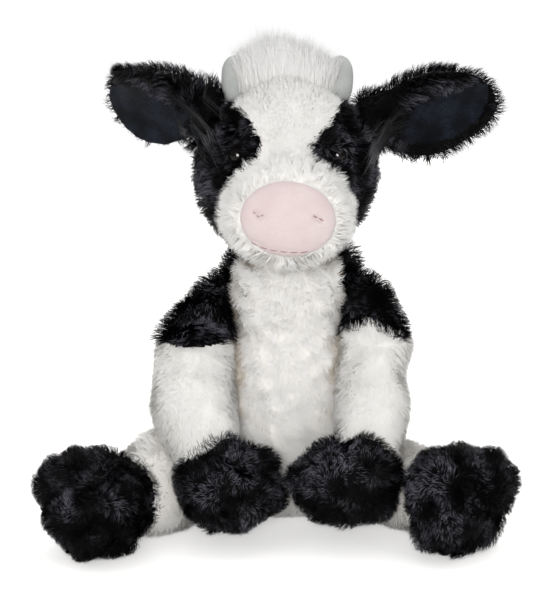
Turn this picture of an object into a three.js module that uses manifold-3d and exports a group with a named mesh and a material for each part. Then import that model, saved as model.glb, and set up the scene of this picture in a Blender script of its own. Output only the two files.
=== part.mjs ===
// A sitting plush cow, in millimetres. +Z is up, the cow faces -Y and its own left is +X.
// It is made as such a toy is sewn: fur covers round soft stuffing, with pellet bags that weigh it down.
import * as THREE from 'three'
import { mergeVertices } from 'three/addons/utils/BufferGeometryUtils.js'
import Module from 'manifold-3d'

const wasm = await Module()
wasm.setup()

// sizes that every piece shares
const gap = 0.3
const pile = 7
const inside = -pile
const filling = inside - gap
const swingGap = 0.8
const floorCut = 0.5
const far = 400
const unit = 1

// how finely the soft forms are drawn
const bodySides = 20
const bodyRings = 8
const limbSides = 16
const limbRings = 7
const hoofSides = 18
const hoofRings = 6
const fillingSides = 10
const fillingRings = 5
const ballFineness = { sides: 18, rings: 10 }
const neckFineness = { sides: 28, rings: 16 }
const lathePoints = 14
const ringSearch = 1e-5

// how blunt a form's ends are where it doesn't say: 2 is round and a higher value is squarer
const plainBlunt = 2.4

const looks = {
  blackFur: { color: 0x141418, roughness: 0.9 },
  whiteFur: { color: 0xf1eeea, roughness: 0.92 },
  pinkVelour: { color: 0xf0dadb, roughness: 0.85 },
  darkVelour: { color: 0x1b2029, roughness: 0.88 },
  greyVelour: { color: 0xc6c8c5, roughness: 0.86 },
  pinkThread: { color: 0xc98f98, roughness: 0.7 },
  eyePlastic: { color: 0x08080a, roughness: 0.12 },
  washerPlastic: { color: 0xdcdcd8, roughness: 0.5 },
  stuffing: { color: 0xf6f5f2, roughness: 0.95 },
  pelletCloth: { color: 0xd9d3c4, roughness: 0.9 }
}

const group = new THREE.Group()
group.name = 'plush_cow'

function toSolid(geometry) {
  geometry.deleteAttribute('normal')
  geometry.deleteAttribute('uv')
  const merged = mergeVertices(geometry)
  return new wasm.Manifold(new wasm.Mesh({
    numProp: 3,
    vertProperties: merged.attributes.position.array,
    triVerts: Uint32Array.from(merged.index.array)
  }))
}

function addPiece(name, solid, look) {
  const { vertProperties, triVerts } = solid.getMesh()
  const geometry = new THREE.BufferGeometry()
  geometry.setAttribute('position', new THREE.BufferAttribute(vertProperties, 3))
  geometry.setIndex(new THREE.BufferAttribute(triVerts, 1))
  geometry.computeVertexNormals()
  const piece = new THREE.Mesh(geometry, new THREE.MeshStandardMaterial({ ...looks[look], metalness: 0 }))
  piece.name = name
  group.add(piece)
}

const cut = (solid, ...tools) => tools.reduce((left, tool) => left.subtract(tool), solid)

// a box between two corners, used to part and to trim pieces
function block([x0, y0, z0], [x1, y1, z1]) {
  const geometry = new THREE.BoxGeometry(x1 - x0, y1 - y0, z1 - z0)
  geometry.translate((x0 + x1) / 2, (y0 + y1) / 2, (z0 + z1) / 2)
  return toSolid(geometry)
}

function ball(centre, radius, { sides, rings } = ballFineness) {
  const geometry = new THREE.SphereGeometry(radius, sides, rings)
  geometry.translate(...centre)
  return toSolid(geometry)
}

// a ball whose flats are no nearer to its middle than the radius, for sockets
function socket(centre, radius, fineness = ballFineness) {
  const flats = Math.cos(Math.PI / fineness.sides) * Math.cos(Math.PI / fineness.rings / 2)
  return ball(centre, radius / flats, fineness)
}

// a stuffed form: rings along a bent spine, closed by rounded ends
// half holds each station's half width and half depth, and endShares how much of a ring a flat end keeps
function softForm(form, grow = 0) {
  const { stations, side: facing, sides, rings, blunt = plainBlunt, endShares = [0, 0], cleft } = form
  const places = stations.map(({ at }) => new THREE.Vector3(...at))
  const last = places.length - 1
  const lean = (from, to) => places[to].clone().sub(places[from]).setLength(grow)
  const leans = [lean(1, 0), lean(last - 1, last)]
  places[0].add(leans[0])
  places[last].add(leans[1])
  const spine = new THREE.CatmullRomCurve3(places)
  const swell = new THREE.CatmullRomCurve3(stations.map(({ half }) => new THREE.Vector3(half[0], half[1], 0)))
  const ringShares = []
  for (let ring = 0; ring <= rings; ring++) {
    const t = (1 - Math.cos(Math.PI * ring / rings)) / 2
    const flat = endShares[t < 0.5 ? 0 : 1]
    const share = flat + (1 - flat) * Math.sqrt(Math.max(0, 1 - Math.abs(2 * t - 1) ** blunt))
    if (share > 0) ringShares.push({ t, share })
  }
  const points = []
  const faces = []
  for (const { t, share } of ringShares) {
    const middle = spine.getPoint(t)
    const along = spine.getTangent(t)
    const side = new THREE.Vector3(...facing)
    side.addScaledVector(along, -side.dot(along)).normalize()
    const front = along.clone().cross(side)
    const size = swell.getPoint(t)
    for (let corner = 0; corner < sides; corner++) {
      const turn = 2 * Math.PI * corner / sides
      const reach = share * (cleft ? dented(turn, t, cleft) : 1)
      const point = middle.clone()
      point.addScaledVector(side, (size.x + grow) * reach * Math.cos(turn))
      point.addScaledVector(front, (size.y + grow) * reach * Math.sin(turn))
      points.push(...point.toArray())
    }
  }
  const rows = ringShares.length
  const at = (row, corner) => row * sides + corner % sides
  const tail = rows * sides
  points.push(...spine.getPoint(0).toArray(), ...spine.getPoint(1).toArray())
  for (let corner = 0; corner < sides; corner++) {
    faces.push(tail, at(0, corner + 1), at(0, corner))
    faces.push(tail + 1, at(rows - 1, corner), at(rows - 1, corner + 1))
    for (let row = 0; row < rows - 1; row++) {
      faces.push(at(row, corner), at(row, corner + 1), at(row + 1, corner + 1))
      faces.push(at(row, corner), at(row + 1, corner + 1), at(row + 1, corner))
    }
  }
  const geometry = new THREE.BufferGeometry()
  geometry.setAttribute('position', new THREE.BufferAttribute(Float32Array.from(points), 3))
  geometry.setIndex(faces)
  return toSolid(geometry)
}

// the ring that a form has at a height, as its middle and its half sizes
function ringAt({ stations, blunt = plainBlunt }, height) {
  const spine = new THREE.CatmullRomCurve3(stations.map(({ at }) => new THREE.Vector3(...at)))
  const swell = new THREE.CatmullRomCurve3(stations.map(({ half }) => new THREE.Vector3(half[0], half[1], 0)))
  let low = 0
  let high = 1
  while (high - low > ringSearch) {
    const middle = (low + high) / 2
    if (spine.getPoint(middle).z < height) low = middle
    else high = middle
  }
  const share = Math.sqrt(1 - Math.abs(2 * low - 1) ** blunt)
  return { middle: spine.getPoint(low), half: swell.getPoint(low).multiplyScalar(share) }
}

// how far a hoof's cleft leaves a ring standing at a turn about its spine
function dented(turn, t, { facing, spread, depthShare }) {
  const off = Math.atan2(Math.sin(turn - facing), Math.cos(turn - facing)) / spread
  return 1 - depthShare * t * Math.exp(-off * off)
}

// a form's inner faces are drawn more coarsely than its cover, and alike for the cover and the stuffing
const inner = (form, grow) => softForm({ ...form, sides: fillingSides, rings: fillingRings }, grow)
const cover = (form) => cut(softForm(form), inner(form, inside))

const moved = (point, step) => point.map((value, axis) => value + step[axis])

// A form's stations, its foot first. It reaches from foot to tip by so much across, back and up. Each row
// holds shares of those three, and then shares of the half width and half depth.
function shaped({ foot, across = 0, back = 0, up = 0, halfWidth, halfDepth, stationShares, ...rest }) {
  const stations = stationShares.map(([acrossShare, backShare, upShare, wideShare, deepShare]) => ({
    at: moved(foot, [across * acrossShare, back * backShare, up * upShare]),
    half: [halfWidth * wideShare, halfDepth * deepShare]
  }))
  return { side: [1, 0, 0], ...rest, halfWidth, halfDepth, stations, foot, tip: moved(foot, [across, back, up]) }
}

// Torso
const torsoSeat = { back: 6 }
const torso = shaped({
  sides: bodySides,
  rings: bodyRings,
  blunt: 2.6,
  endShares: [0.66, 0],
  foot: [0, torsoSeat.back, -floorCut],
  back: -8,
  up: 142.5,
  halfWidth: 51,
  halfDepth: 47,
  stationShares: [
    [0, 0, 0, 0.92, 0.94],
    [0, 0.12, 0.24, 1, 1],
    [0, 0.38, 0.54, 0.86, 0.87],
    [0, 0.88, 0.76, 0.71, 0.77],
    [0, 1, 1, 0.55, 0.6]
  ]
})
const panel = { halfWidth: 34, forward: 14, foot: 16 }
const yokeShare = 0.75
const seatBag = { top: 21 }

// The torso ends in a ball about the neck's middle, on which the head and both arms are sewn
const neck = { drop: 16, radius: 34, capHeight: 21 }
const neckAt = moved(torso.tip, [0, 0, -neck.drop])
const neckTop = neckAt[2] + neck.capHeight
const neckBall = ball(neckAt, neck.radius, neckFineness)
const neckSocket = socket(neckAt, neck.radius + gap, neckFineness)

// Head
const skullSeat = { forward: 4, up: 15 }
const skull = shaped({
  sides: bodySides,
  rings: bodyRings,
  blunt: 2.5,
  foot: moved(neckAt, [0, -skullSeat.forward, skullSeat.up]),
  back: -1,
  up: 106,
  halfWidth: 50,
  halfDepth: 45,
  stationShares: [
    [0, 0, 0, 0.72, 0.78],
    [0, 2, 0.25, 0.82, 0.89],
    [0, 3, 0.52, 1, 1],
    [0, 3, 0.76, 1, 0.98],
    [0, 1, 1, 0.8, 0.82]
  ]
})
const heightOnSkull = (share) => skull.foot[2] + (skull.tip[2] - skull.foot[2]) * share

// the blaze's edge, from top to foot, as shares of its half width and of its height
const blaze = { halfWidth: 33, forward: 8, crownBack: 16, footShare: 0.37, crownShare: 0.9, topShare: 1.14 }
const blazeEdgeShares = [[0.94, 1], [0.94, 0.77], [0.52, 0.6], [0.42, 0.5], [0.61, 0.34], [1, 0.2], [1, 0]]

const muzzleSeat = { forward: 16, up: 45 }
const muzzle = shaped({
  sides: bodySides,
  rings: limbRings,
  blunt: 3,
  foot: moved(skull.foot, [0, -muzzleSeat.forward, muzzleSeat.up]),
  back: -64,
  up: -5,
  halfWidth: 37,
  halfDepth: 27.5,
  stationShares: [
    [0, 0, 0, 0.95, 0.91],
    [0, 0.41, 0.4, 1, 1],
    [0, 0.72, 0.8, 0.95, 0.95],
    [0, 1, 1, 0.81, 0.84]
  ]
})
const nose = {
  sunk: 6,
  up: 2.5,
  halfWidth: 26,
  halfDepth: 10,
  halfHeight: 20.5,
  roll: THREE.MathUtils.degToRad(5)
}
const noseAt = moved(muzzle.tip, [0, nose.sunk, nose.up])

// the stitches' places are shares of the nose's half width and half height
const nostril = {
  outShare: 0.6,
  upShare: 0.12,
  halfLength: 2.8,
  radius: 0.9,
  slants: { left: -0.5, right: 0.3 },
  sides: 8,
  rings: 5,
  blunt: 4
}
const mouth = {
  endShares: [-0.77, 0.5],
  dropShare: 0.74,
  curlShare: 0.13,
  radius: 0.6,
  steps: 12,
  sides: 6,
  blunt: 12
}
const eye = {
  outShare: 0.61,
  upShare: 0.66,
  radius: 4.5,
  dome: 3.4,
  domeSteps: 5,
  sunk: 4.6,
  post: 1.8,
  postLength: 11
}
const eyeFoot = -eye.sunk - eye.postLength
const washer = { radius: 6.5, thick: 1.4, sunk: 1.2 }

const hornSeat = { out: 26, back: 3, sunk: 15 }
const horn = shaped({
  sides: limbSides,
  rings: limbRings,
  blunt: 3,
  foot: moved(skull.tip, [hornSeat.out, hornSeat.back, -hornSeat.sunk]),
  across: 4,
  up: 30,
  halfWidth: 10,
  halfDepth: 10,
  stationShares: [
    [0, 0, 0, 1, 1],
    [1, 1, 1, 0.8, 0.8]
  ]
})
const forelockSeat = { forward: 9, sunk: 13 }
const forelock = shaped({
  sides: limbSides,
  rings: limbRings,
  blunt: 3,
  foot: moved(skull.tip, [0, -forelockSeat.forward, -forelockSeat.sunk]),
  back: 4,
  up: 41,
  halfWidth: 29,
  halfDepth: 15,
  stationShares: [
    [0, 0, 0, 0.79, 1],
    [0, 0.25, 0.54, 1, 0.87],
    [0, 1, 1, 0.86, 0.6]
  ]
})

// Ears: sweep turns an ear back, lift raises it and roll faces its lining down
const ear = {
  out: 45,
  back: 4,
  sunk: 25,
  length: 80,
  halfWidth: 25,
  cup: 9,
  fur: 7,
  lining: 2.4,
  rimShare: 0.4,
  widthShares: [0.36, 0.56, 0.94, 1.04, 0.97, 0.76, 0.3],
  lengthSteps: 8,
  widthSteps: 4
}
const earRoot = moved(skull.tip, [ear.out, ear.back, -ear.sunk])
const earPoses = {
  left: { sweep: 8, lift: 9, roll: 24 },
  right: { sweep: 34, lift: 12, roll: 30 }
}

// Arms, which are the front legs, and how far down each its black fur reaches
const armSeat = { out: 18, back: 1, up: 6 }
const arm = shaped({
  sides: limbSides,
  rings: limbRings,
  blunt: 3,
  foot: moved(neckAt, [armSeat.out, armSeat.back, armSeat.up]),
  across: 18,
  back: -69,
  up: -98,
  halfWidth: 23,
  halfDepth: 22,
  stationShares: [
    [0, 0, 0, 0.57, 0.68],
    [1.5, 0.06, 0.14, 0.87, 0.91],
    [1.89, 0.25, 0.38, 1, 1],
    [1.83, 0.54, 0.59, 0.98, 1],
    [1.33, 0.88, 0.88, 0.83, 0.82],
    [1, 1, 1, 0.65, 0.68]
  ]
})
const sleeveShares = { left: 0.19, right: 0.29 }
const frontHoofLap = { back: 10, up: 23 }
const frontHoof = shaped({
  sides: hoofSides,
  rings: hoofRings,
  blunt: 2.5,
  cleft: { facing: -Math.PI / 2, spread: 0.38, depthShare: 0.2 },
  foot: moved(arm.tip, [0, frontHoofLap.back, frontHoofLap.up]),
  across: -5,
  back: -19,
  up: -49,
  halfWidth: 29.5,
  halfDepth: 24,
  stationShares: [
    [0, 0, 0, 0.85, 0.79],
    [0.7, 0.53, 0.39, 1, 1],
    [1, 1, 1, 0.88, 0.88]
  ]
})
const frontBag = { top: 24 }

// Legs: each lies on the floor, with its foot in a ball-shaped socket, and turns outwards about an upright line.
// They are drawn pointing forwards from the hip and then turned.
const hip = { out: 45, forward: 18, radius: 23 }
const hipAt = [hip.out, torso.foot[1] - hip.forward, hip.radius - floorCut]
const legTurns = { left: 39.4, right: 42.5 }
const leg = shaped({
  sides: limbSides,
  rings: limbRings,
  blunt: 3,
  foot: [0, hip.radius, hipAt[2]],
  back: -111,
  up: 7.5,
  halfWidth: hip.radius,
  halfDepth: hip.radius,
  stationShares: [
    [0, 0, 0, 1, 1],
    [0, 0.21, 0, 1, 1],
    [0, 0.53, 0.13, 1, 1.02],
    [0, 1, 1, 0.87, 0.91]
  ]
})
const hindHoofLap = { back: 30 }
const hindHoof = shaped({
  sides: hoofSides,
  rings: hoofRings,
  blunt: 3.2,
  cleft: { facing: Math.PI / 2, spread: 0.36, depthShare: 0.36 },
  foot: moved(leg.tip, [0, hindHoofLap.back, 0]),
  back: -48,
  up: 4,
  halfWidth: 31,
  halfDepth: 33,
  stationShares: [
    [0, 0, 0, 0.77, 0.79],
    [0, 0.46, 0.75, 1, 1],
    [0, 1, 1, 0.97, 0.97]
  ]
})
const hindBag = { top: 24 }

// Tail, which lies behind the toy
const tailPivot = { back: 42, up: 30.5, radius: 8 }
const tailPivotAt = moved(torso.foot, [0, tailPivot.back, tailPivot.up])
const tailSeat = { forward: 6, up: 1 }
const tail = shaped({
  sides: 12,
  rings: 8,
  foot: moved(tailPivotAt, [0, -tailSeat.forward, tailSeat.up]),
  back: 46,
  up: -21,
  halfWidth: 7,
  halfDepth: 7,
  stationShares: [
    [0, 0, 0, 1, 1],
    [0, 0.3, 0.14, 0.93, 0.93],
    [0, 0.65, 0.67, 0.86, 0.86],
    [0, 1, 1, 0.71, 0.71]
  ]
})
const tuftLap = { forward: 8, up: 2 }
const tuft = shaped({
  sides: 14,
  rings: 8,
  foot: moved(tail.tip, [0, -tuftLap.forward, tuftLap.up]),
  back: 32,
  up: -4,
  halfWidth: 10,
  halfDepth: 9,
  stationShares: [
    [0, 0, 0, 0.6, 0.67],
    [0, 0.44, 0.5, 1, 1],
    [0, 1, 1, 0.6, 0.56]
  ]
})

const sides = [
  { name: 'left', sign: 1 },
  { name: 'right', sign: -1 }
]
const mirrored = (point, sign) => [point[0] * sign, point[1], point[2]]
const mirroredForm = (form, sign) => ({
  ...form,
  stations: form.stations.map(({ at, half }) => ({ at: mirrored(at, sign), half }))
})

// a form that is drawn about the origin, turned about an upright line and moved to its place
function turnedForm(form, degrees, place) {
  const upright = new THREE.Vector3(0, 0, 1)
  const turn = (point) => new THREE.Vector3(...point).applyAxisAngle(upright, THREE.MathUtils.degToRad(degrees))
  const move = (point) => turn(point).add(new THREE.Vector3(...place)).toArray()
  return {
    ...form,
    side: turn(form.side).toArray(),
    stations: form.stations.map(({ at, half }) => ({ at: move(at), half }))
  }
}

const floor = block([-far, -far, -far], [far, far, 0])
const below = (height) => block([-far, -far, -far], [far, far, height])
const above = (height) => block([-far, -far, height], [far, far, far])
const keep = (solid, region) => solid.intersect(region)

// Torso: a white belly panel, a black yoke over the shoulders and back, and a white seat
const torsoClear = softForm(torso, gap).add(neckSocket)
const torsoSwingClear = softForm(torso, swingGap).add(socket(neckAt, neck.radius + swingGap, neckFineness))
const torsoInside = inner(torso, inside).add(ball(neckAt, neck.radius + inside))
const torsoCore = inner(torso, filling).add(ball(neckAt, neck.radius + filling))
const hipSockets = sides.map(({ sign }) => socket(mirrored(hipAt, sign), hip.radius + gap))
const tailSocket = socket(tailPivotAt, tailPivot.radius + gap)
const torsoOpenings = [...hipSockets, tailSocket, floor, above(neckTop - gap)]
const torsoCover = cut(softForm(torso).add(neckBall), torsoInside, ...torsoOpenings)
const torsoRest = cut(torsoCover, panelBlock(gap))

function panelBlock(grow) {
  const side = panel.halfWidth + grow
  return block([-side, -far, panel.foot - grow], [side, torso.foot[1] - panel.forward + grow, far])
}

const yokeEdge = torso.foot[2] + (torso.tip[2] - torso.foot[2]) * yokeShare
addPiece('belly_panel', keep(torsoCover, panelBlock(0)), 'whiteFur')
addPiece('shoulder_yoke', keep(torsoRest, above(yokeEdge)), 'blackFur')
addPiece('seat_cover', keep(torsoRest, below(yokeEdge - gap)), 'whiteFur')
const torsoFilled = cut(torsoCore, ...torsoOpenings)
addPiece('torso_stuffing', keep(torsoFilled, above(seatBag.top)), 'stuffing')
addPiece('seat_pellet_bag', keep(torsoFilled, below(seatBag.top - gap)), 'pelletCloth')
addPiece('neck_stuffing', keep(neckBall, above(neckTop)), 'stuffing')

// Head: black cheeks, a white blaze and a white muzzle round one stuffing
const skullClear = softForm(skull, gap)
const skullInside = inner(skull, inside)

function blazePrism(grow) {
  const low = heightOnSkull(blaze.footShare) - grow
  const high = heightOnSkull(blaze.topShare) + grow
  const crown = heightOnSkull(blaze.crownShare) - grow
  const back = skull.foot[1] - blaze.forward
  const edge = blazeEdgeShares.map(([out, up]) => [blaze.halfWidth * out + grow, low + (high - low) * up])
  const shape = new THREE.Shape()
  shape.moveTo(...edge[0])
  edge.slice(1).forEach(([x, z]) => shape.lineTo(x, z))
  edge.reverse().forEach(([x, z]) => shape.lineTo(-x, z))
  const depth = back + grow + far
  const geometry = new THREE.ExtrudeGeometry(shape, { depth, bevelEnabled: false })
  geometry.rotateX(Math.PI / 2)
  geometry.translate(0, back + grow, 0)
  const side = blaze.halfWidth * blazeEdgeShares[0][0] + grow
  const crownBack = skull.foot[1] + blaze.crownBack + grow
  return toSolid(geometry).add(block([-side, back, crown], [side, crownBack, far]))
}

// where an eye sits on the skull, and the way it looks
function eyeSpot(sign) {
  const height = heightOnSkull(eye.upShare)
  const { middle, half } = ringAt(skull, height)
  const out = eye.outShare * skull.halfWidth
  const level = Math.sqrt(1 - (out / half.x) ** 2)
  const spot = new THREE.Vector3(sign * out, middle.y - half.y * level, height)
  const facing = new THREE.Vector3(sign * out / half.x ** 2, -level / half.y, 0).normalize()
  const turn = new THREE.Quaternion().setFromUnitVectors(new THREE.Vector3(0, 1, 0), facing)
  return new THREE.Matrix4().compose(spot, turn, new THREE.Vector3(unit, unit, unit))
}

// a turned solid on an eye's line: points are radius and height, 0 at the fur's surface
function turned(points, sign) {
  const profile = points.map(([radius, height]) => new THREE.Vector2(radius, height))
  const geometry = new THREE.LatheGeometry(profile, lathePoints)
  geometry.applyMatrix4(eyeSpot(sign))
  return toSolid(geometry)
}

function eyeSolid(sign) {
  const dome = []
  for (let step = 0; step < eye.domeSteps; step++) {
    const turn = Math.PI / 2 * step / eye.domeSteps
    dome.push([eye.radius * Math.cos(turn), eye.dome * Math.sin(turn) - eye.sunk])
  }
  dome.push([0, eye.dome - eye.sunk])
  return turned([[0, eyeFoot], [eye.post, eyeFoot], [eye.post, -eye.sunk], ...dome], sign)
}

function eyeHole(sign) {
  const step = -eye.sunk - gap
  const narrow = eye.post + gap
  const wide = eye.radius + gap
  return turned([[0, eyeFoot], [narrow, eyeFoot], [narrow, step], [wide, step], [wide, pile], [0, pile]], sign)
}

function washerSolid(sign) {
  const front = -pile - washer.sunk
  const hole = eye.post + gap
  const back = front - washer.thick
  return turned([[hole, back], [washer.radius, back], [washer.radius, front], [hole, front], [hole, back]], sign)
}

function washerRecess(sign, top) {
  const wide = washer.radius + gap
  const deep = eyeFoot - gap
  return turned([[0, deep], [wide, deep], [wide, top], [0, top]], sign)
}

// the nose pad and its stitches share one frame, rolled a little about the cow's line of sight
const noseFrame = new THREE.Matrix4().makeRotationY(nose.roll).setPosition(...noseAt)
const noseFace = (x, z) => {
  const level = 1 - (x / nose.halfWidth) ** 2 - (z / nose.halfHeight) ** 2
  return -nose.halfDepth * Math.sqrt(level)
}

function noseSolid(grow) {
  const geometry = new THREE.SphereGeometry(unit, limbSides, limbRings + 1)
  geometry.rotateX(Math.PI / 2)
  geometry.scale(nose.halfWidth + grow, nose.halfDepth + grow, nose.halfHeight + grow)
  geometry.applyMatrix4(noseFrame)
  return toSolid(geometry)
}

function nostrilStitch(side, sign, grow) {
  const slant = nostril.slants[side]
  const ends = [-1, 1].map((end) => {
    const x = sign * nostril.outShare * nose.halfWidth + end * nostril.halfLength * Math.cos(slant)
    const z = nostril.upShare * nose.halfHeight - end * nostril.halfLength * Math.sin(slant)
    return new THREE.Vector3(x, noseFace(x, z), z).applyMatrix4(noseFrame).toArray()
  })
  const half = [nostril.radius, nostril.radius]
  const stations = [{ at: ends[0], half }, { at: ends[1], half }]
  const { sides, rings, blunt } = nostril
  return softForm({ side: [0, 0, 1], sides, rings, blunt, stations }, grow)
}

function mouthStitch(grow) {
  const stations = []
  for (let step = 0; step <= mouth.steps; step++) {
    const share = step / mouth.steps
    const x = nose.halfWidth * THREE.MathUtils.lerp(...mouth.endShares, share)
    const z = nose.halfHeight * (mouth.curlShare * (2 * share - 1) ** 2 - mouth.dropShare)
    const at = new THREE.Vector3(x, noseFace(x, z), z).applyMatrix4(noseFrame).toArray()
    stations.push({ at, half: [mouth.radius, mouth.radius] })
  }
  const { sides, steps, blunt } = mouth
  return softForm({ side: [0, 0, 1], sides, rings: steps, blunt, stations }, grow)
}

// an ear's frame: its root is at the origin, its length runs along X and its lining faces -Y
function earFrame({ sweep, lift, roll }) {
  const radians = THREE.MathUtils.degToRad
  const frame = new THREE.Matrix4().makeTranslation(...earRoot)
  frame.multiply(new THREE.Matrix4().makeRotationZ(radians(sweep)))
  frame.multiply(new THREE.Matrix4().makeRotationY(-radians(lift)))
  return frame.multiply(new THREE.Matrix4().makeRotationX(radians(roll)))
}

// one layer of a cupped, leaf-shaped ear, between two distances behind its middle
function earLayer({ name, sign }, near, away, grow = 0) {
  const { length, halfWidth, cup, rimShare, widthShares, lengthSteps, widthSteps } = ear
  const frame = earFrame(earPoses[name])
  const widths = new THREE.CatmullRomCurve3(widthShares.map((share) => new THREE.Vector3(share, 0, 0)))
  const points = []
  for (const depth of [near, away]) {
    for (let row = 0; row <= lengthSteps; row++) {
      const share = widths.getPoint(row / lengthSteps).x
      for (let column = 0; column <= widthSteps; column++) {
        const off = 2 * column / widthSteps - 1
        const thin = rimShare + (1 - rimShare) * Math.sqrt(1 - off * off)
        const y = depth * thin - cup * (off * share) ** 2
        const point = new THREE.Vector3(length * row / lengthSteps, y, (halfWidth * share + grow) * off)
        if (row === 0) point.x -= grow
        point.applyMatrix4(frame)
        points.push(point.x * sign, point.y, point.z)
      }
    }
  }
  const faces = []
  const across = widthSteps + 1
  const sheet = across * (lengthSteps + 1)
  const quad = (a, b, c, d) => sign > 0 ? faces.push(a, b, c, a, c, d) : faces.push(a, c, b, a, d, c)
  for (let row = 0; row < lengthSteps; row++) {
    for (let column = 0; column < widthSteps; column++) {
      const a = row * across + column
      quad(a, a + across, a + across + 1, a + 1)
      quad(sheet + a, sheet + a + 1, sheet + a + across + 1, sheet + a + across)
    }
  }
  const rim = []
  for (let column = 0; column < widthSteps; column++) rim.push(column)
  for (let row = 0; row < lengthSteps; row++) rim.push(row * across + widthSteps)
  for (let column = widthSteps; column > 0; column--) rim.push(lengthSteps * across + column)
  for (let row = lengthSteps; row > 0; row--) rim.push(row * across)
  rim.forEach((here, index) => {
    const next = rim[(index + 1) % rim.length]
    quad(here, next, sheet + next, sheet + here)
  })
  const geometry = new THREE.BufferGeometry()
  geometry.setAttribute('position', new THREE.BufferAttribute(Float32Array.from(points), 3))
  geometry.setIndex(faces)
  return toSolid(geometry)
}

// an ear's fur side is gathered into a ball at its root, which sits in a socket in the head
const earBall = Math.hypot(ear.halfWidth * ear.widthShares[0], ear.fur)
const earSockets = sides.map(({ sign }) => socket(mirrored(earRoot, sign), earBall + gap))

function earBack(side) {
  const root = ball(mirrored(earRoot, side.sign), earBall)
  const liningClear = earLayer(side, -ear.lining - gap, gap / 2, gap)
  return cut(root, liningClear).add(earLayer(side, gap / 2, ear.fur))
}
const muzzleClear = softForm(muzzle, gap)
const eyeHoles = sides.map(({ sign }) => eyeHole(sign).add(washerRecess(sign, gap - pile - washer.sunk)))
const skullCover = cut(softForm(skull), skullInside, neckSocket, muzzleClear, ...earSockets, ...eyeHoles)
const cheeks = cut(skullCover, blazePrism(gap))
addPiece('blaze_cover', keep(skullCover, blazePrism(0)), 'whiteFur')
for (const { name, sign } of sides) {
  const half = block([Math.min(0, sign * far) + gap / 2, -far, 0], [Math.max(0, sign * far) - gap / 2, far, far])
  addPiece(`cheek_cover_${name}`, keep(cheeks, half), 'blackFur')
}
const recesses = sides.map(({ sign }) => washerRecess(sign, 0))
addPiece('muzzle_cover', cut(cover(muzzle), skullInside, noseSolid(gap), ...recesses), 'whiteFur')
const headCore = inner(skull, filling).add(inner(muzzle, filling))
addPiece('head_stuffing', cut(headCore, neckSocket, noseSolid(gap), ...earSockets, ...recesses), 'stuffing')

const threads = sides.map(({ name, sign }) => nostrilStitch(name, sign, gap))
addPiece('nose_pad', cut(noseSolid(0), mouthStitch(gap), ...threads), 'pinkVelour')
addPiece('mouth_stitch', mouthStitch(0), 'pinkThread')

const hornClear = sides.map(({ sign }) => softForm(mirroredForm(horn, sign), gap))
addPiece('forelock', cut(softForm(forelock), skullClear, ...hornClear), 'whiteFur')

for (const { name, sign } of sides) {
  addPiece(`nostril_stitch_${name}`, nostrilStitch(name, sign, 0), 'pinkThread')
  addPiece(`eye_${name}`, eyeSolid(sign), 'eyePlastic')
  addPiece(`eye_washer_${name}`, washerSolid(sign), 'washerPlastic')
  addPiece(`horn_${name}`, cut(softForm(mirroredForm(horn, sign)), skullClear), 'greyVelour')
  addPiece(`ear_back_${name}`, earBack({ name, sign }), 'blackFur')
  addPiece(`ear_lining_${name}`, earLayer({ name, sign }, -ear.lining, -gap / 2), 'darkVelour')
}

// a limb that ends in a weighted hoof: its cover, its hoof's cover, its stuffing and the hoof's pellet bag
function limb(shape, hoof, bagTop, obstacle) {
  const hoofCore = inner(hoof, filling)
  return {
    sleeve: cut(cover(shape), softForm(hoof, gap), obstacle, floor),
    hoof: cut(cover(hoof), inner(shape, inside), floor),
    stuffing: cut(inner(shape, filling).add(hoofCore), keep(inner(hoof, inside), below(bagTop + gap)), obstacle),
    bag: keep(hoofCore, below(bagTop))
  }
}

for (const { name, sign } of sides) {
  const pieces = limb(mirroredForm(arm, sign), mirroredForm(frontHoof, sign), frontBag.top, torsoSwingClear)
  const edge = arm.foot[2] + (arm.tip[2] - arm.foot[2]) * sleeveShares[name]
  addPiece(`upper_arm_cover_${name}`, keep(pieces.sleeve, above(edge)), 'blackFur')
  addPiece(`forearm_cover_${name}`, keep(pieces.sleeve, below(edge - gap)), 'whiteFur')
  addPiece(`front_hoof_cover_${name}`, pieces.hoof, 'blackFur')
  addPiece(`arm_stuffing_${name}`, pieces.stuffing, 'stuffing')
  addPiece(`front_hoof_pellet_bag_${name}`, pieces.bag, 'pelletCloth')
}

for (const { name, sign } of sides) {
  const place = [sign * hipAt[0], hipAt[1], 0]
  const turn = sign * legTurns[name]
  const hipBall = ball(mirrored(hipAt, sign), hip.radius)
  const obstacle = cut(torsoClear, hipBall)
  const pieces = limb(turnedForm(leg, turn, place), turnedForm(hindHoof, turn, place), hindBag.top, obstacle)
  addPiece(`leg_cover_${name}`, pieces.sleeve, 'whiteFur')
  addPiece(`hind_hoof_cover_${name}`, pieces.hoof, 'blackFur')
  addPiece(`leg_stuffing_${name}`, pieces.stuffing, 'stuffing')
  addPiece(`hind_hoof_pellet_bag_${name}`, pieces.bag, 'pelletCloth')
}

// Tail, from a rounded root in the seat to a tuft at its end
const tailRoot = ball(tailPivotAt, tailPivot.radius)
const tailFree = cut(softForm(tail), torsoClear)
addPiece('tail_cover', cut(tailFree.add(tailRoot), softForm(tuft, gap)), 'whiteFur')
addPiece('tail_tuft', softForm(tuft), 'blackFur')

export default group
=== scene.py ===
import math

import bpy
import numpy as np
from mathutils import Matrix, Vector
from mathutils.bvhtree import BVHTree
from mathutils.kdtree import KDTree


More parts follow.
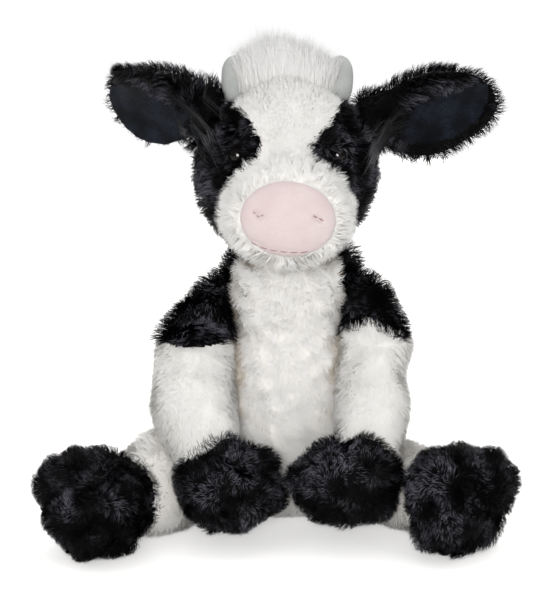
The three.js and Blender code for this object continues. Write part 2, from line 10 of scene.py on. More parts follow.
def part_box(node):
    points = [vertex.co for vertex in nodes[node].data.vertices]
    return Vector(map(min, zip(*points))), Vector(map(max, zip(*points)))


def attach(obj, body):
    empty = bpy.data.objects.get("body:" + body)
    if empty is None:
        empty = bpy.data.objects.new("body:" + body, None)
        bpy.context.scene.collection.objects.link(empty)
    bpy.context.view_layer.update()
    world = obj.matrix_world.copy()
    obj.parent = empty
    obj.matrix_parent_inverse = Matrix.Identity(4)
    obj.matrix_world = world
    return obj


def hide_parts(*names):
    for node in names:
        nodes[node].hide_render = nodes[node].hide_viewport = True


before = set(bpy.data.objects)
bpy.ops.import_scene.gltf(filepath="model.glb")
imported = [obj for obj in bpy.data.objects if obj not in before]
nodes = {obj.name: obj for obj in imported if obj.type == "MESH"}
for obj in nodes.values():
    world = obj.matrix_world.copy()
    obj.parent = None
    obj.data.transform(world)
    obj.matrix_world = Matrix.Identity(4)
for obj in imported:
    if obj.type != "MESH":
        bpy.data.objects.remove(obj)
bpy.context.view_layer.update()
print("frame loaded,", len(nodes), "nodes")

seeds = {  # starts of the random draws: another number gives another arrangement
    "edges": 77,
    "lumps": 40,
    "pile": 100,
    "pileStep": 17,
    "swirls": 11,  # this and the next are added to a panel's own seed
    "patches": 5,
    "neck": 31,
    "forelock": 5,
    "forelockLocks": 9,
    "earLocks": 23,
}

view = {
    "distance": 1.1,  # metres from the cow's middle
    "heightAngle": 13,  # degrees above level
    "aim": (-0.006, -0.020, 0.1262),
    "lens": 117.9,  # millimetres, as is the sensor
    "sensor": 36,
    "clip": (0.05, 50),
}

lamps = {  # place, aim, size across in metres, watts
    "keyPanel": ((-0.65, -1.4, 0.95), (0, 0, 0.12), 1.1, 2),
    "fillPanel": ((0.85, -1.35, 0.5), (0, 0, 0.12), 1.2, 2),
    "topPanel": ((0.1, 0.25, 1.6), (0, 0, 0.1), 1.3, 5),
    "frontPanel": ((-0.15, -1.7, 0.62), (0, 0, 0.2), 0.32, 9.5),
    "glintPanel": ((-0.05, -1.7, 0.25), (0, 0, 0.2), 1.0, 120),  # only the eyes see it
    "lowPanel": ((0.1, -1.25, 0.16), (0, 0, 0.13), 0.6, 2),
    "backPanel": ((0.3, 1.4, 0.9), (0, 0, 0.12), 1.2, 8),
}
lampTint = (1.0, 0.992, 0.98)
roomLight = 0.765  # the even light of the white room
glossyRoom = 0.2  # what the eyes and the shine of the fur see of it

floorLook = {"reach": 1.3, "colour": "#f2f1ef", "roughness": 0.85, "specular": 0.1, "glow": 0.45}


def paint(code):  # a written colour such as #f0eeea as the linear colour that Blender takes
    parts = [int(code[k : k + 2], 16) / 255 for k in (1, 3, 5)]
    linear = (p / 12.92 if p <= 0.04045 else ((p + 0.055) / 1.055) ** 2.4 for p in parts)
    return (*linear, 1.0)


def addObject(name, data):
    made = bpy.data.objects.new(name, data)
    bpy.context.scene.collection.objects.link(made)
    return made


def aimAt(thing, place, aim):
    thing.location = place
    thing.rotation_euler = (Vector(aim) - Vector(place)).to_track_quat("-Z", "Y").to_euler()


def setView():
    angle = math.radians(view["heightAngle"])
    aim = Vector(view["aim"])
    lensData = bpy.data.cameras.new("photoView")
    lensData.lens = view["lens"]
    lensData.sensor_width = view["sensor"]
    lensData.clip_start, lensData.clip_end = view["clip"]
    camera = addObject("photoView", lensData)
    back = Vector((0, -math.cos(angle), math.sin(angle)))
    aimAt(camera, aim + back * view["distance"], aim)
    bpy.context.scene.camera = camera


def setLamps():
    for name, (place, aim, size, watts) in lamps.items():
        lamp = bpy.data.lights.new(name, "AREA")
        lamp.shape, lamp.size, lamp.energy = "SQUARE", size, watts
        lamp.color = lampTint
        aimAt(addObject(name, lamp), place, aim)
    room = bpy.data.worlds.new("whiteRoom")
    bpy.context.scene.world = room
    room.use_nodes = True
    tree = room.node_tree
    tree.nodes.clear()
    out = tree.nodes.new("ShaderNodeOutputWorld")
    even = tree.nodes.new("ShaderNodeBackground")
    even.inputs["Color"].default_value = (1, 1, 1, 1)
    path = tree.nodes.new("ShaderNodeLightPath")
    level = tree.nodes.new("ShaderNodeMapRange")
    level.inputs["To Min"].default_value = roomLight
    level.inputs["To Max"].default_value = 1.0
    tree.links.new(path.outputs["Is Camera Ray"], level.inputs["Value"])
    shine = tree.nodes.new("ShaderNodeMapRange")  # shine sees a darker room, so black stays black
    shine.inputs["To Max"].default_value = glossyRoom
    tree.links.new(path.outputs["Is Glossy Ray"], shine.inputs["Value"])
    tree.links.new(level.outputs["Result"], shine.inputs["To Min"])
    tree.links.new(shine.outputs["Result"], even.inputs["Strength"])
    tree.links.new(even.outputs[0], out.inputs["Surface"])


def setFloor():
    reach = floorLook["reach"]
    points = [(-reach, -reach, 0), (reach, -reach, 0), (reach, reach, 0), (-reach, reach, 0)]
    mesh = bpy.data.meshes.new("paleFloor")
    mesh.from_pydata([Vector(p) for p in points], [], [(0, 1, 2, 3)])
    floor = addObject("paleFloor", mesh)
    look = bpy.data.materials.new("paleFloor")
    look.use_nodes = True
    tree = look.node_tree
    shader = tree.nodes["Principled BSDF"]
    shader.inputs["Base Color"].default_value = paint(floorLook["colour"])
    shader.inputs["Roughness"].default_value = floorLook["roughness"]
    shader.inputs["Specular IOR Level"].default_value = floorLook["specular"]
    path = tree.nodes.new("ShaderNodeLightPath")
    glow = tree.nodes.new("ShaderNodeMath")  # only the camera sees the floor glow, so it lights nothing
    glow.operation = "MULTIPLY"
    glow.inputs[1].default_value = floorLook["glow"]
    tree.links.new(path.outputs["Is Camera Ray"], glow.inputs[0])
    shader.inputs["Emission Color"].default_value = (1, 1, 1, 1)
    tree.links.new(glow.outputs[0], shader.inputs["Emission Strength"])
    mesh.materials.append(look)


setView()
setLamps()
setFloor()
bpy.context.scene.view_settings.view_transform = "Standard"
print("view, lamps and floor set")


def newLook(name, roughness, specular, sheen=0.0):
    look = bpy.data.materials.new(name)
    look.use_nodes = True
    shader = look.node_tree.nodes["Principled BSDF"]
    shader.inputs["Roughness"].default_value = roughness
    shader.inputs["Sheen Weight"].default_value = sheen
    shader.inputs["Sheen Roughness"].default_value = 0.5
    shader.inputs["Specular IOR Level"].default_value = specular
    return look, look.node_tree, shader


def mixNode(tree, share, one, two):
    mix = tree.nodes.new("ShaderNodeMix")
    mix.data_type = "RGBA"
    for socket, value in ((mix.inputs[0], share), (mix.inputs[6], one), (mix.inputs[7], two)):
        if hasattr(value, "is_output"):
            tree.links.new(value, socket)
        else:
            socket.default_value = value
    return mix.outputs[2]


def rampNode(tree, value, low, high):
    ramp = tree.nodes.new("ShaderNodeMapRange")
    ramp.interpolation_type = "SMOOTHSTEP"
    ramp.inputs["From Min"].default_value = low
    ramp.inputs["From Max"].default_value = high
    tree.links.new(value, ramp.inputs["Value"])
    return ramp.outputs["Result"]


def newGroup(name, colours, values):  # a node group, its input node and its output node
    group = bpy.data.node_groups.new(name, "ShaderNodeTree")
    for names, kind in ((colours, "NodeSocketColor"), (values, "NodeSocketFloat")):
        for socket in names:
            group.interface.new_socket(socket, in_out="INPUT", socket_type=kind)
    group.interface.new_socket("Colour", in_out="OUTPUT", socket_type="NodeSocketColor")
    return group, group.nodes.new("NodeGroupInput"), group.nodes.new("NodeGroupOutput")


pileBlend = {"low": (0.0, 0.55), "high": (0.45, 1.0)}  # where root turns to middle, and middle to tip
velourNoise = {  # detail and range of the mottle, then of the grain
    "mottle": (3, (0.32, 0.68)),
    "grain": (4, (0.3, 0.75)),
    "grainRoughness": 0.7,
}


def pileColourGroup():  # the colour of one strand: along it from root to tip, where a darker root is painted shade deep in the pile and a light tip can be painted sheen, and from strand to strand
    group, given, out = newGroup("pileColour", ("Root", "Middle", "Tip", "Shaded"), ("Tone", "Along"))
    low = rampNode(group, given.outputs["Along"], *pileBlend["low"])
    high = rampNode(group, given.outputs["Along"], *pileBlend["high"])
    body = mixNode(group, low, given.outputs["Root"], given.outputs["Middle"])
    tipped = mixNode(group, high, body, given.outputs["Tip"])
    clean = rampNode(group, given.outputs["Tone"], 0.0, 1.0)
    toned = mixNode(group, clean, given.outputs["Shaded"], tipped)
    group.links.new(toned, out.inputs["Colour"])
    return group


def velourGroup():  # short pile: a soft mottle of two colours and the height of its grain
    group, given, out = newGroup("velourPile", ("Ground", "Brushed"), ("Mottle Scale", "Grain Scale"))
    group.interface.new_socket("Height", in_out="OUTPUT", socket_type="NodeSocketFloat")
    where = group.nodes.new("ShaderNodeTexCoord")
    (mottleDetail, mottleRange), (grainDetail, grainRange) = velourNoise["mottle"], velourNoise["grain"]
    mottle = group.nodes.new("ShaderNodeTexNoise")
    mottle.inputs["Detail"].default_value = mottleDetail
    grain = group.nodes.new("ShaderNodeTexNoise")
    grain.inputs["Detail"].default_value = grainDetail
    grain.inputs["Roughness"].default_value = velourNoise["grainRoughness"]
    for noise, size in ((mottle, "Mottle Scale"), (grain, "Grain Scale")):
        group.links.new(where.outputs["Object"], noise.inputs["Vector"])
        group.links.new(given.outputs[size], noise.inputs["Scale"])
    share = rampNode(group, mottle.outputs["Fac"], *mottleRange)
    fine = rampNode(group, grain.outputs["Fac"], *grainRange)
    mottled = mixNode(group, share, given.outputs["Ground"], given.outputs["Brushed"])
    speckled = mixNode(group, fine, given.outputs["Ground"], mottled)
    group.links.new(speckled, out.inputs["Colour"])
    group.links.new(fine, out.inputs["Height"])
    return group


pileColour = pileColourGroup()
velourPile = velourGroup()


pileLooks = {  # colours along a strand, and the shaded colour, painted shade that low tone mixes in, as in creases, seams and the hollows between tufts
    "blackPile": {
        # the light grey tip is painted sheen; it shows where the tone is raised
        "root": "#020203", "middle": "#0b0b0d", "tip": "#706f7a", "shaded": "#030304", "roughness": 0.5,
        "specular": 0.07,
    },
    "whitePile": {
        "root": "#f6f4f0", "middle": "#fbfaf8", "tip": "#fdfdfc", "shaded": "#e0d0b8", "roughness": 0.9,
        "specular": 0.04,
    },
    # a darker copy of the white pile for the arms and the blaze: painted shade, as they catch more light
    # than the belly
    "plainPile": {
        "root": "#f0efec", "middle": "#f5f4f2", "tip": "#f8f8f6", "shaded": "#dccfbc", "roughness": 0.9,
        "specular": 0.04,
    },
    "whiteHair": {
        "root": "#dcdcda", "middle": "#f1f0ef", "tip": "#f9f9f8", "shaded": "#d0d0cf",
        "roughness": 0.65, "specular": 0.1,
    },
    "greyHair": {
        "root": "#0a0a0c", "middle": "#3c3c3f", "tip": "#77767a", "shaded": "#0c0c0e", "roughness": 0.5,
        "specular": 0.3,
    },
}
velourLooks = {
    "pinkVelour": {
        "ground": "#cabab9", "brushedNapAndPaintedSheen": "#d5cac8", "mottle": 70, "grain": 1500, "height": 0.00022,
        "roughness": 0.9, "sheen": 0.12, "specular": 0.15,
    },
    "greyVelour": {
        "ground": "#a2a5a3", "brushedNapAndPaintedSheen": "#bcbfbc", "mottle": 90, "grain": 1400, "height": 0.00025,
        "roughness": 0.9, "sheen": 0.12, "specular": 0.15,
    },
    "darkVelour": {
        "ground": "#080a0f", "brushedNapAndPaintedSheen": "#242b38", "mottle": 75, "grain": 1300, "height": 0.00025,
        "roughness": 0.8, "sheen": 0.05, "specular": 0.08,
    },
}


plasticLooks = {  # moulded plastic with a faint cloud in its colour
    "eyeGloss": {
        "dark": "#050404", "light": "#120d0b", "cloud": 220, "roughness": 0.06, "specular": 0.2,
    },
    "washerPlastic": {
        "dark": "#0c0c0d", "light": "#141416", "cloud": 300, "roughness": 0.5, "specular": 0.4,
    },
}
threadLook = {
    "dark": "#77585a", "light": "#ab898a", "twist": 900, "uneven": 1.5, "roughness": 0.6,
    "specular": 0.3, "sheen": 0.1,
}
bumpStrength = 0.6


def pileLook(name):
    values = pileLooks[name]
    look, tree, shader = newLook(name, values["roughness"], values["specular"])
    uv = tree.nodes.new("ShaderNodeUVMap")
    uv.uv_map = "OFBake"
    split = tree.nodes.new("ShaderNodeSeparateXYZ")
    tree.links.new(uv.outputs["UV"], split.inputs[0])
    strand = tree.nodes.new("ShaderNodeGroup")
    strand.node_tree = pileColour
    for socket in ("Root", "Middle", "Tip", "Shaded"):
        strand.inputs[socket].default_value = paint(values[socket.lower()])
    tree.links.new(split.outputs["X"], strand.inputs["Tone"])
    tree.links.new(split.outputs["Y"], strand.inputs["Along"])
    tree.links.new(strand.outputs["Colour"], shader.inputs["Base Color"])
    return look


def velourLook(name):
    values = velourLooks[name]
    look, tree, shader = newLook(name, values["roughness"], values["specular"], values["sheen"])
    pile = tree.nodes.new("ShaderNodeGroup")
    pile.node_tree = velourPile
    pile.inputs["Ground"].default_value = paint(values["ground"])
    pile.inputs["Brushed"].default_value = paint(values["brushedNapAndPaintedSheen"])
    pile.inputs["Mottle Scale"].default_value = values["mottle"]
    pile.inputs["Grain Scale"].default_value = values["grain"]
    bump = tree.nodes.new("ShaderNodeBump")
    bump.inputs["Strength"].default_value = bumpStrength
    bump.inputs["Distance"].default_value = values["height"]
    tree.links.new(pile.outputs["Colour"], shader.inputs["Base Color"])
    tree.links.new(pile.outputs["Height"], bump.inputs["Height"])
    tree.links.new(bump.outputs["Normal"], shader.inputs["Normal"])
    return look


def plasticLook(name):
    values = plasticLooks[name]
    look, tree, shader = newLook(name, values["roughness"], values["specular"])
    cloud = tree.nodes.new("ShaderNodeTexNoise")
    cloud.inputs["Scale"].default_value = values["cloud"]
    colour = mixNode(tree, cloud.outputs["Fac"], paint(values["dark"]), paint(values["light"]))
    tree.links.new(colour, shader.inputs["Base Color"])
    return look


def twistedThread(name):  # the two tones of a twisted thread
    values = threadLook
    look, tree, shader = newLook(name, values["roughness"], values["specular"], values["sheen"])
    twist = tree.nodes.new("ShaderNodeTexWave")
    twist.inputs["Scale"].default_value = values["twist"]
    twist.inputs["Distortion"].default_value = values["uneven"]
    where = tree.nodes.new("ShaderNodeTexCoord")
    tree.links.new(where.outputs["Object"], twist.inputs["Vector"])
    colour = mixNode(tree, twist.outputs["Fac"], paint(values["dark"]), paint(values["light"]))
    tree.links.new(colour, shader.inputs["Base Color"])
    return look


looks = {"pinkThread": twistedThread("pinkThread")}
for known, maker in ((pileLooks, pileLook), (velourLooks, velourLook), (plasticLooks, plasticLook)):
    looks.update({name: maker(name) for name in known})
print("materials made:", len(looks))


def cadShape(names):  # the points and faces of some CAD nodes together, and each face's node
    points, faces, owner, start = [], [], [], 0
    for k, name in enumerate(names):
        mesh = nodes[name].data
        co = np.empty(len(mesh.vertices) * 3)
        mesh.vertices.foreach_get("co", co)
        mesh.calc_loop_triangles()
        corners = np.empty(len(mesh.loop_triangles) * 3, int)
        mesh.loop_triangles.foreach_get("vertices", corners)
        points.append(co.reshape(-1, 3))
        faces.append(corners.reshape(-1, 3) + start)
        owner.append(np.full(len(faces[-1]), k))
        start += len(points[-1])
    return np.concatenate(points), np.concatenate(faces), np.concatenate(owner)


def searchTree(points, faces):
    return BVHTree.FromPolygons(points.tolist(), faces.tolist())


def edgeEnds(quads):
    return np.concatenate([quads[:, [0, 1]], quads[:, [1, 2]], quads[:, [2, 3]], quads[:, [3, 0]]]).T


def largestShell(points, quads):  # drops the inner shells that the remesh leaves
    one, two = edgeEnds(quads)
    label = np.arange(len(points))
    while True:
        low = np.minimum(label[one], label[two])
        fresh = label.copy()
        np.minimum.at(fresh, one, low)
        np.minimum.at(fresh, two, low)
        fresh = fresh[fresh]
        if np.array_equal(fresh, label):
            break
        label = fresh
    biggest = np.bincount(label[quads[:, 0]], minlength=len(points)).argmax()
    kept = quads[label[quads[:, 0]] == biggest]
    used, kept = np.unique(kept, return_inverse=True)
    return points[used], kept.reshape(-1, 4)


def relax(points, quads, rounds):  # each point goes half of the way to its neighbours' mean
    one, two = edgeEnds(quads)
    count = np.bincount(one, minlength=len(points)) + np.bincount(two, minlength=len(points))
    for _ in range(rounds):
        mean = np.empty_like(points)
        for axis in range(3):
            mean[:, axis] = np.bincount(one, points[two, axis], len(points))
            mean[:, axis] += np.bincount(two, points[one, axis], len(points))
        points = points + (mean / count[:, None] - points) * 0.5
    return points


def unit(vectors):
    return vectors / np.maximum(np.linalg.norm(vectors, axis=-1, keepdims=True), 1e-12)


def vertexNormals(points, quads):
    corners = points[quads]
    across = np.cross(corners[:, 2] - corners[:, 0], corners[:, 3] - corners[:, 1])
    total = np.zeros_like(points)
    for corner in range(4):
        for axis in range(3):
            total[:, axis] += np.bincount(quads[:, corner], across[:, axis], len(points))
    return unit(total)


def ripple(points, size, seed, outputs):  # smooth noise, mostly within -1 and 1
    waves, shortest, longest = 8, 0.7, 1.5  # how many, and their lengths as shares of the size
    source = np.random.default_rng(seed)
    value = np.zeros((len(points), outputs))
    for _ in range(waves):
        way = unit(source.normal(size=3))
        pitch = size * source.uniform(shortest, longest)
        turn = source.uniform(0, 2 * math.pi, outputs)
        value += np.sin((points @ way)[:, None] * (2 * math.pi / pitch) + turn)
    return value / math.sqrt(waves)


def toSpot(points, place):  # squared distance in metres to a place given in millimetres
    return ((points - np.array(place) / 1000) ** 2).sum(1)


def toLine(points, one, two):  # the same to a line between two places, and how far along it
    one, two = np.array(one) / 1000, np.array(two) / 1000
    run = two - one
    share = np.clip(((points - one) @ run) / (run @ run), 0, 1)
    return ((points - one - share[:, None] * run) ** 2).sum(1), share


def fade(gap2, reach):  # 1 on the spot, and next to nothing at twice the reach in millimetres
    return np.exp(-gap2 / (reach / 1000) ** 2)


def press(points, pushes):  # soft pushes, given one by one: place, reach and move, in millimetres
    for place, reach, move in pushes:
        points = points + fade(toSpot(points, place), reach)[:, None] * (np.array(move) / 1000)
    return points


def tuckIn(points, normals, tucks):  # narrow creases along a line: two ends, width and depth, in mm
    fadeOver, leastDepth = 0.15, 0.25  # shares of the line and of the depth, at each end
    for one, two, width, depth in tucks:
        gap2, share = toLine(points, one, two)
        ends = np.clip(np.minimum(share, 1 - share) / fadeOver, leastDepth, 1)
        deep = fade(gap2, width) * depth / 1000 * ends
        points = points - normals * deep[:, None]
    return points


def faceMiddles(skin):
    return skin["points"][skin["quads"]].mean(1)


settleRounds = 3  # smoothing after the form is drawn in
floorGap = 0.0008  # metres that the cloth keeps to the floor


def stuffedForm(names, voxel, inset, rounds, pushes=(), tucks=()):  # some CAD nodes as one soft form
    points, faces, _ = cadShape(names)
    mesh = bpy.data.meshes.new("working")
    mesh.from_pydata(points.tolist(), [], faces.tolist())
    working = addObject("working", mesh)
    wrap = working.modifiers.new("wrap", "REMESH")
    wrap.mode, wrap.voxel_size = "VOXEL", voxel
    bpy.context.view_layer.update()
    made = working.evaluated_get(bpy.context.evaluated_depsgraph_get()).to_mesh()
    co = np.empty(len(made.vertices) * 3)
    made.vertices.foreach_get("co", co)
    corners = np.empty(len(made.loops), int)
    made.loops.foreach_get("vertex_index", corners)
    co, quads = largestShell(co.reshape(-1, 3), corners.reshape(-1, 4))
    bpy.data.objects.remove(working)
    bpy.data.meshes.remove(mesh)
    co = relax(co, quads, rounds)
    normals = vertexNormals(co, quads)
    co = relax(co - normals * inset, quads, settleRounds)
    co = press(co, pushes)
    if tucks:
        co = tuckIn(co, vertexNormals(co, quads), tucks)
    co[:, 2] = np.maximum(co[:, 2], floorGap)
    return {"points": co, "quads": quads, "normals": vertexNormals(co, quads)}


earForm = {"voxel": 0.0014, "inset": 0.0012, "rounds": 10}
limbForm = {"voxel": 0.002, "inset": 0.0012, "rounds": 12}
# body: voxel, how deep the backing lies under the CAD surface, smoothing rounds,
# and the pushes and tucks, listed in millimetres, that press and tuckIn take
forms = {
    "torso": {
        "voxel": 0.0022, "inset": 0.0017, "rounds": 14,
        "pushes": [
            ((38, 10, 146), 20, (5, 0, 6)), ((30, 12, 143), 17, (6, 0, 3)),
            ((-30, 12, 143), 17, (-6, 0, 3)), ((0, -30, 146), 24, (0, -5, 7)),
        ],
        "tucks": [
            ((2, -44, 104), (1.5, -44, 50), 3.6, 6.0), ((2, -44, 64), (27, -38, 62), 3.2, 6.5),
            ((-24, -40, 148), (24, -40, 146), 6, 1.5), ((-12, -42, 84), (-30, -36, 92), 4, 1.6),
            ((-4, -44, 66), (-24, -38, 58), 4, 1.8),
        ],
    },
    "head": {
        "voxel": 0.002, "inset": 0.0018, "rounds": 12,
        "pushes": [
            ((45, -8, 178), 20, (1.5, 0, 0)), ((-45, -8, 178), 20, (-3, 0, 0)),
            ((0, -22, 247), 24, (0, -2, 6)), ((38, -62, 198), 17, (-5, 0, -2)),
            ((-38, -62, 198), 17, (5, 0, -2)),
        ],
    },
    "ear_left": dict(
        earForm,
        pushes=[
            ((46, 0, 240), 24, (0, 0, 7)), ((82, 0, 248), 22, (0, 0, 6)),
            ((85, 0, 225), 45, (0, 0, 1.5)), ((124, -5, 240), 18, (-12, 0, 1)),
            ((59, -10, 209), 17, (0, 0, -13)), ((104, 0, 210), 20, (0, 0, 4)),
            ((72, 0, 250), 22, (0, 0, 2)), ((112, 0, 248), 12, (0, 0, 2)),
        ],
        tucks=[((60, -14, 219), (104, -14, 237), 6, 5)],
    ),
    "ear_right": dict(
        earForm,
        pushes=[
            ((-42, 0, 238), 24, (0, 0, 13)), ((-70, 5, 245), 20, (0, 0, 6)),
            ((-85, 10, 225), 40, (0, 0, 2)), ((-112, 35, 246), 20, (9, 0, -1)),
            ((-56, -8, 210), 17, (0, 0, -12)), ((-87, 12, 215), 16, (0, 0, 2.8)),
            ((-101, 18, 226), 12, (1, 0, 1.5)),
        ],
        tucks=[((-54, -10, 228), (-88, 6, 238), 7, 3)],
    ),
    "arm_left": dict(
        limbForm,
        pushes=[
            ((36, -5, 134), 15, (-3, 0, 7)), ((72, -20, 84), 32, (-9, 0, 0)),
            ((70, -15, 102), 17, (3.5, 0, 0)), ((52, -88, 60), 20, (0, 0, 13)),
            ((19, -88, 54), 18, (-2, 0, -12)), ((30, -94, 8), 28, (0, 9, 3)),
            ((20, -90, 8), 14, (0, 4, 1)), ((5, -86, 30), 14, (-4, 0, 0)),
            ((66, -80, 44), 18, (5, 0, 0)), ((64, -86, 24), 10, (-4, 0, 0)),
        ],
    ),
    "arm_right": dict(
        limbForm,
        pushes=[
            ((-36, -5, 134), 15, (3, 0, 7)), ((-60, -5, 115), 15, (0, 0, 1)),
            ((-64, -35, 56), 24, (-6, 0, 0)), ((-66, -15, 76), 15, (3, 0, 0)),
            ((-30, -92, 8), 20, (0, 7, 2)), ((-8, -86, 26), 14, (6, 0, -1)),
            ((-52, -92, 20), 12, (-3, 0, -1)), ((-20, -88, 56), 22, (0, 0, -13)),
            ((-57, -5, 130), 20, (3, 0, -4)), ((-27, -35, 122), 16, (3, 0, 0)),
        ],
    ),
    "leg_left": dict(
        limbForm,
        pushes=[
            ((84, -95, 12), 22, (-5, -8, 0)), ((104, -85, 62), 30, (0, 0, -9)),
            ((76, -92, 6), 12, (-3, -3, 0)), ((124, -90, 25), 26, (-6, 0, 0)),
            ((76, -50, 16), 20, (0, -5, 0)), ((68, -90, 34), 18, (-6, 0, 0)),
            ((70, -85, 54), 14, (-3, 0, 3)), ((66, -88, 24), 10, (3.5, 0, 0)),
            ((84, -95, 8), 14, (0, -3, 0)), ((118, -95, 8), 16, (-4, 3, 0)),
        ],
        tucks=[((97, -70, 63), (94, -107, 40), 6, 7)],
    ),
    "leg_right": dict(
        limbForm,
        pushes=[
            ((-106, -98, 10), 36, (-5, -17, 0)), ((-88, -100, 8), 16, (0, -2.5, 0)),
            ((-122, -80, 52), 14, (-2, 0, 3)), ((-98, -85, 64), 34, (0, 0, -15)),
            ((-129, -75, 40), 24, (-7, 0, 0)), ((-70, -80, 45), 18, (-5, 0, 0)),
            ((-70, -22, 50), 24, (-8, -3, 9)), ((-72, -50, 16), 22, (0, -9, -1)),
        ],
        tucks=[((-100, -66, 62), (-99, -105, 46), 6, 7)],
    ),
    "tail": {"voxel": 0.0014, "inset": 0.002, "rounds": 8},
}
covers = {
    "torso": ["belly_panel", "shoulder_yoke", "seat_cover", "torso_stuffing", "seat_pellet_bag"],
    "head": ["blaze_cover", "cheek_cover_left", "cheek_cover_right", "muzzle_cover", "head_stuffing"],
    "tail": ["tail_cover", "tail_tuft"],
}
for side in ("left", "right"):
    covers["ear_" + side] = ["ear_back_" + side, "ear_lining_" + side]
    covers["arm_" + side] = [
        "upper_arm_cover_" + side, "forearm_cover_" + side, "front_hoof_cover_" + side,
        "arm_stuffing_" + side, "front_hoof_pellet_bag_" + side,
    ]
    covers["leg_" + side] = [
        "leg_cover_" + side, "hind_hoof_cover_" + side, "leg_stuffing_" + side,
        "hind_hoof_pellet_bag_" + side,
    ]

skins, solids = {}, {}  # each body's backing cloth, and its CAD surface, which the fur keeps clear of
for body, sizes in forms.items():
    skin = skins[body] = stuffedForm(covers[body], **sizes)
    points, faces, _ = cadShape(covers[body])
    solids[body] = {"tree": searchTree(points, faces), "low": points.min(0), "high": points.max(0)}
    cloth = [n for n in covers[body] if "stuffing" not in n and "bag" not in n]
    points, faces, owner = cadShape(cloth)
    tree = searchTree(points, faces)
    skin["zone"] = np.array([cloth[owner[tree.find_nearest(m)[2]]] for m in faceMiddles(skin)])
    print("form", body, len(skin["quads"]), "faces")

blazeEdge = {  # the white of the face, millimetres: height, edge on the cow's right, edge on its left
    "heights": [186, 190, 193, 196, 200, 203, 206, 209, 213, 216, 219, 222, 228, 232, 235, 238, 243],
    "right": [
        -35, -31.5, -30.5, -29, -26, -23, -19, -15.5, -14, -14.2, -14.8, -15.5, -17, -22.5, -28.5,
        -29.5, -33,
    ],
    "forwardHeights": [184, 192, 200, 208, 216],  # and an edge by depth: the muzzle's sides
    "forward": [-44, -50, -55, -60, -66],  # are white in front of it
    "left": [34.5, 30, 29.5, 28, 25.5, 21, 18, 14.5, 12.3, 11.6, 11.2, 14, 22, 25, 26.5, 27.5, 30],
}
sleeveEdge = {  # where the black of the cow's left arm ends at the front, millimetres
    "across": [28, 32, 38, 44, 52, 57, 64, 70],
    "heights": [104, 106.5, 110.5, 113, 110.5, 107, 104.5, 104],
}
liningEdge = {  # across and up, millimetres
    "left": [
        (64.7, 226.1), (70.1, 230.6), (75.9, 236.2), (79.1, 241.3), (82.4, 243.2), (89.2, 244.8),
        (97.5, 245.5), (105.9, 245.4), (112.0, 244.3), (112.6, 239.7), (112.2, 233.1), (109.8, 228.1),
        (106.4, 223.2), (101.4, 219.1), (96.4, 215.5), (89.8, 212.6), (83.0, 211.0), (74.7, 210.6),
        (67.1, 211.2), (62.9, 215.5), (62.6, 220.9),
    ],
    "right": [
        (-101.1, 240.0), (-91.9, 243.0), (-86.8, 244.2), (-78.0, 244.7), (-74.3, 240.9), (-70.8, 237.7),
        (-65.1, 235.3), (-58.1, 232.5), (-51.1, 229.6), (-47.8, 223.4), (-49, 208), (-58, 200),
        (-84, 201), (-106, 215), (-114, 236),
    ],
}


otherEdges = {  # millimetres
    "face": (-8, 186),  # the face lies in front of the first and above the second
    "wave": (12, 1.2),  # length and height of the waves in its edges
    "blazeFoot": 205,  # the white above it is the blaze's, the white below it the muzzle's
    "chest": (28, 133),  # the yoke covers what lies to the left of the first and above the second
    "sleeveTurn": (-8, 8),  # depth over which the sleeve's front edge turns into its seam behind
    "seamBehind": 5,  # the seam is looked for behind this
}
liningFacing = 0.12  # how much the lining's cloth faces forwards, at least


def inside(across, up, outline):
    within = np.zeros(len(across), bool)
    for (x1, z1), (x2, z2) in zip(outline, outline[1:] + outline[:1]):
        crosses = (z1 > up) != (z2 > up)
        within ^= crosses & (across < (x2 - x1) * (up - z1) / (z2 - z1 + 1e-12) + x1)
    return within


def markHead():
    head = skins["head"]
    middle = faceMiddles(head) * 1000
    waveSize, waveHeight = otherEdges["wave"]
    wobble = ripple(middle / 1000, waveSize / 1000, seeds["edges"], 1)[:, 0] * waveHeight
    right = np.interp(middle[:, 2], blazeEdge["heights"], blazeEdge["right"])
    left = np.interp(middle[:, 2], blazeEdge["heights"], blazeEdge["left"])
    forward = np.interp(middle[:, 2], blazeEdge["forwardHeights"], blazeEdge["forward"])
    face = (middle[:, 1] < otherEdges["face"][0]) & (middle[:, 2] > otherEdges["face"][1])
    ahead = middle[:, 1] < forward + wobble
    white = face & (ahead | (middle[:, 0] > right + wobble) & (middle[:, 0] < left + wobble))
    dark = face & ~white
    moved = white & np.char.startswith(head["zone"], "cheek")
    above = middle[moved, 2] > otherEdges["blazeFoot"]
    head["zone"][moved] = np.where(above, "blaze_cover", "muzzle_cover")
    head["zone"][dark] = np.where(middle[dark, 0] > 0, "cheek_cover_left", "cheek_cover_right")


def markChest():
    torso = skins["torso"]
    middle = faceMiddles(torso) * 1000
    leftOf, over = otherEdges["chest"]
    chest = (torso["zone"] == "belly_panel") & (middle[:, 0] > leftOf) & (middle[:, 2] > over)
    torso["zone"][chest] = "shoulder_yoke"


def markSleeve():
    arm = skins["arm_left"]
    middle = faceMiddles(arm) * 1000
    sleeve = np.isin(arm["zone"], ["upper_arm_cover_left", "forearm_cover_left"])
    behind = (arm["zone"] == "forearm_cover_left") & (middle[:, 1] > otherEdges["seamBehind"])
    seam = middle[behind, 2].max()
    first, last = otherEdges["sleeveTurn"]
    back = np.clip((middle[:, 1] - first) / (last - first), 0, 1)
    front = np.interp(middle[:, 0], sleeveEdge["across"], sleeveEdge["heights"])
    above = middle[:, 2] > front * (1 - back) + seam * back
    arm["zone"][sleeve] = np.where(above[sleeve], "upper_arm_cover_left", "forearm_cover_left")


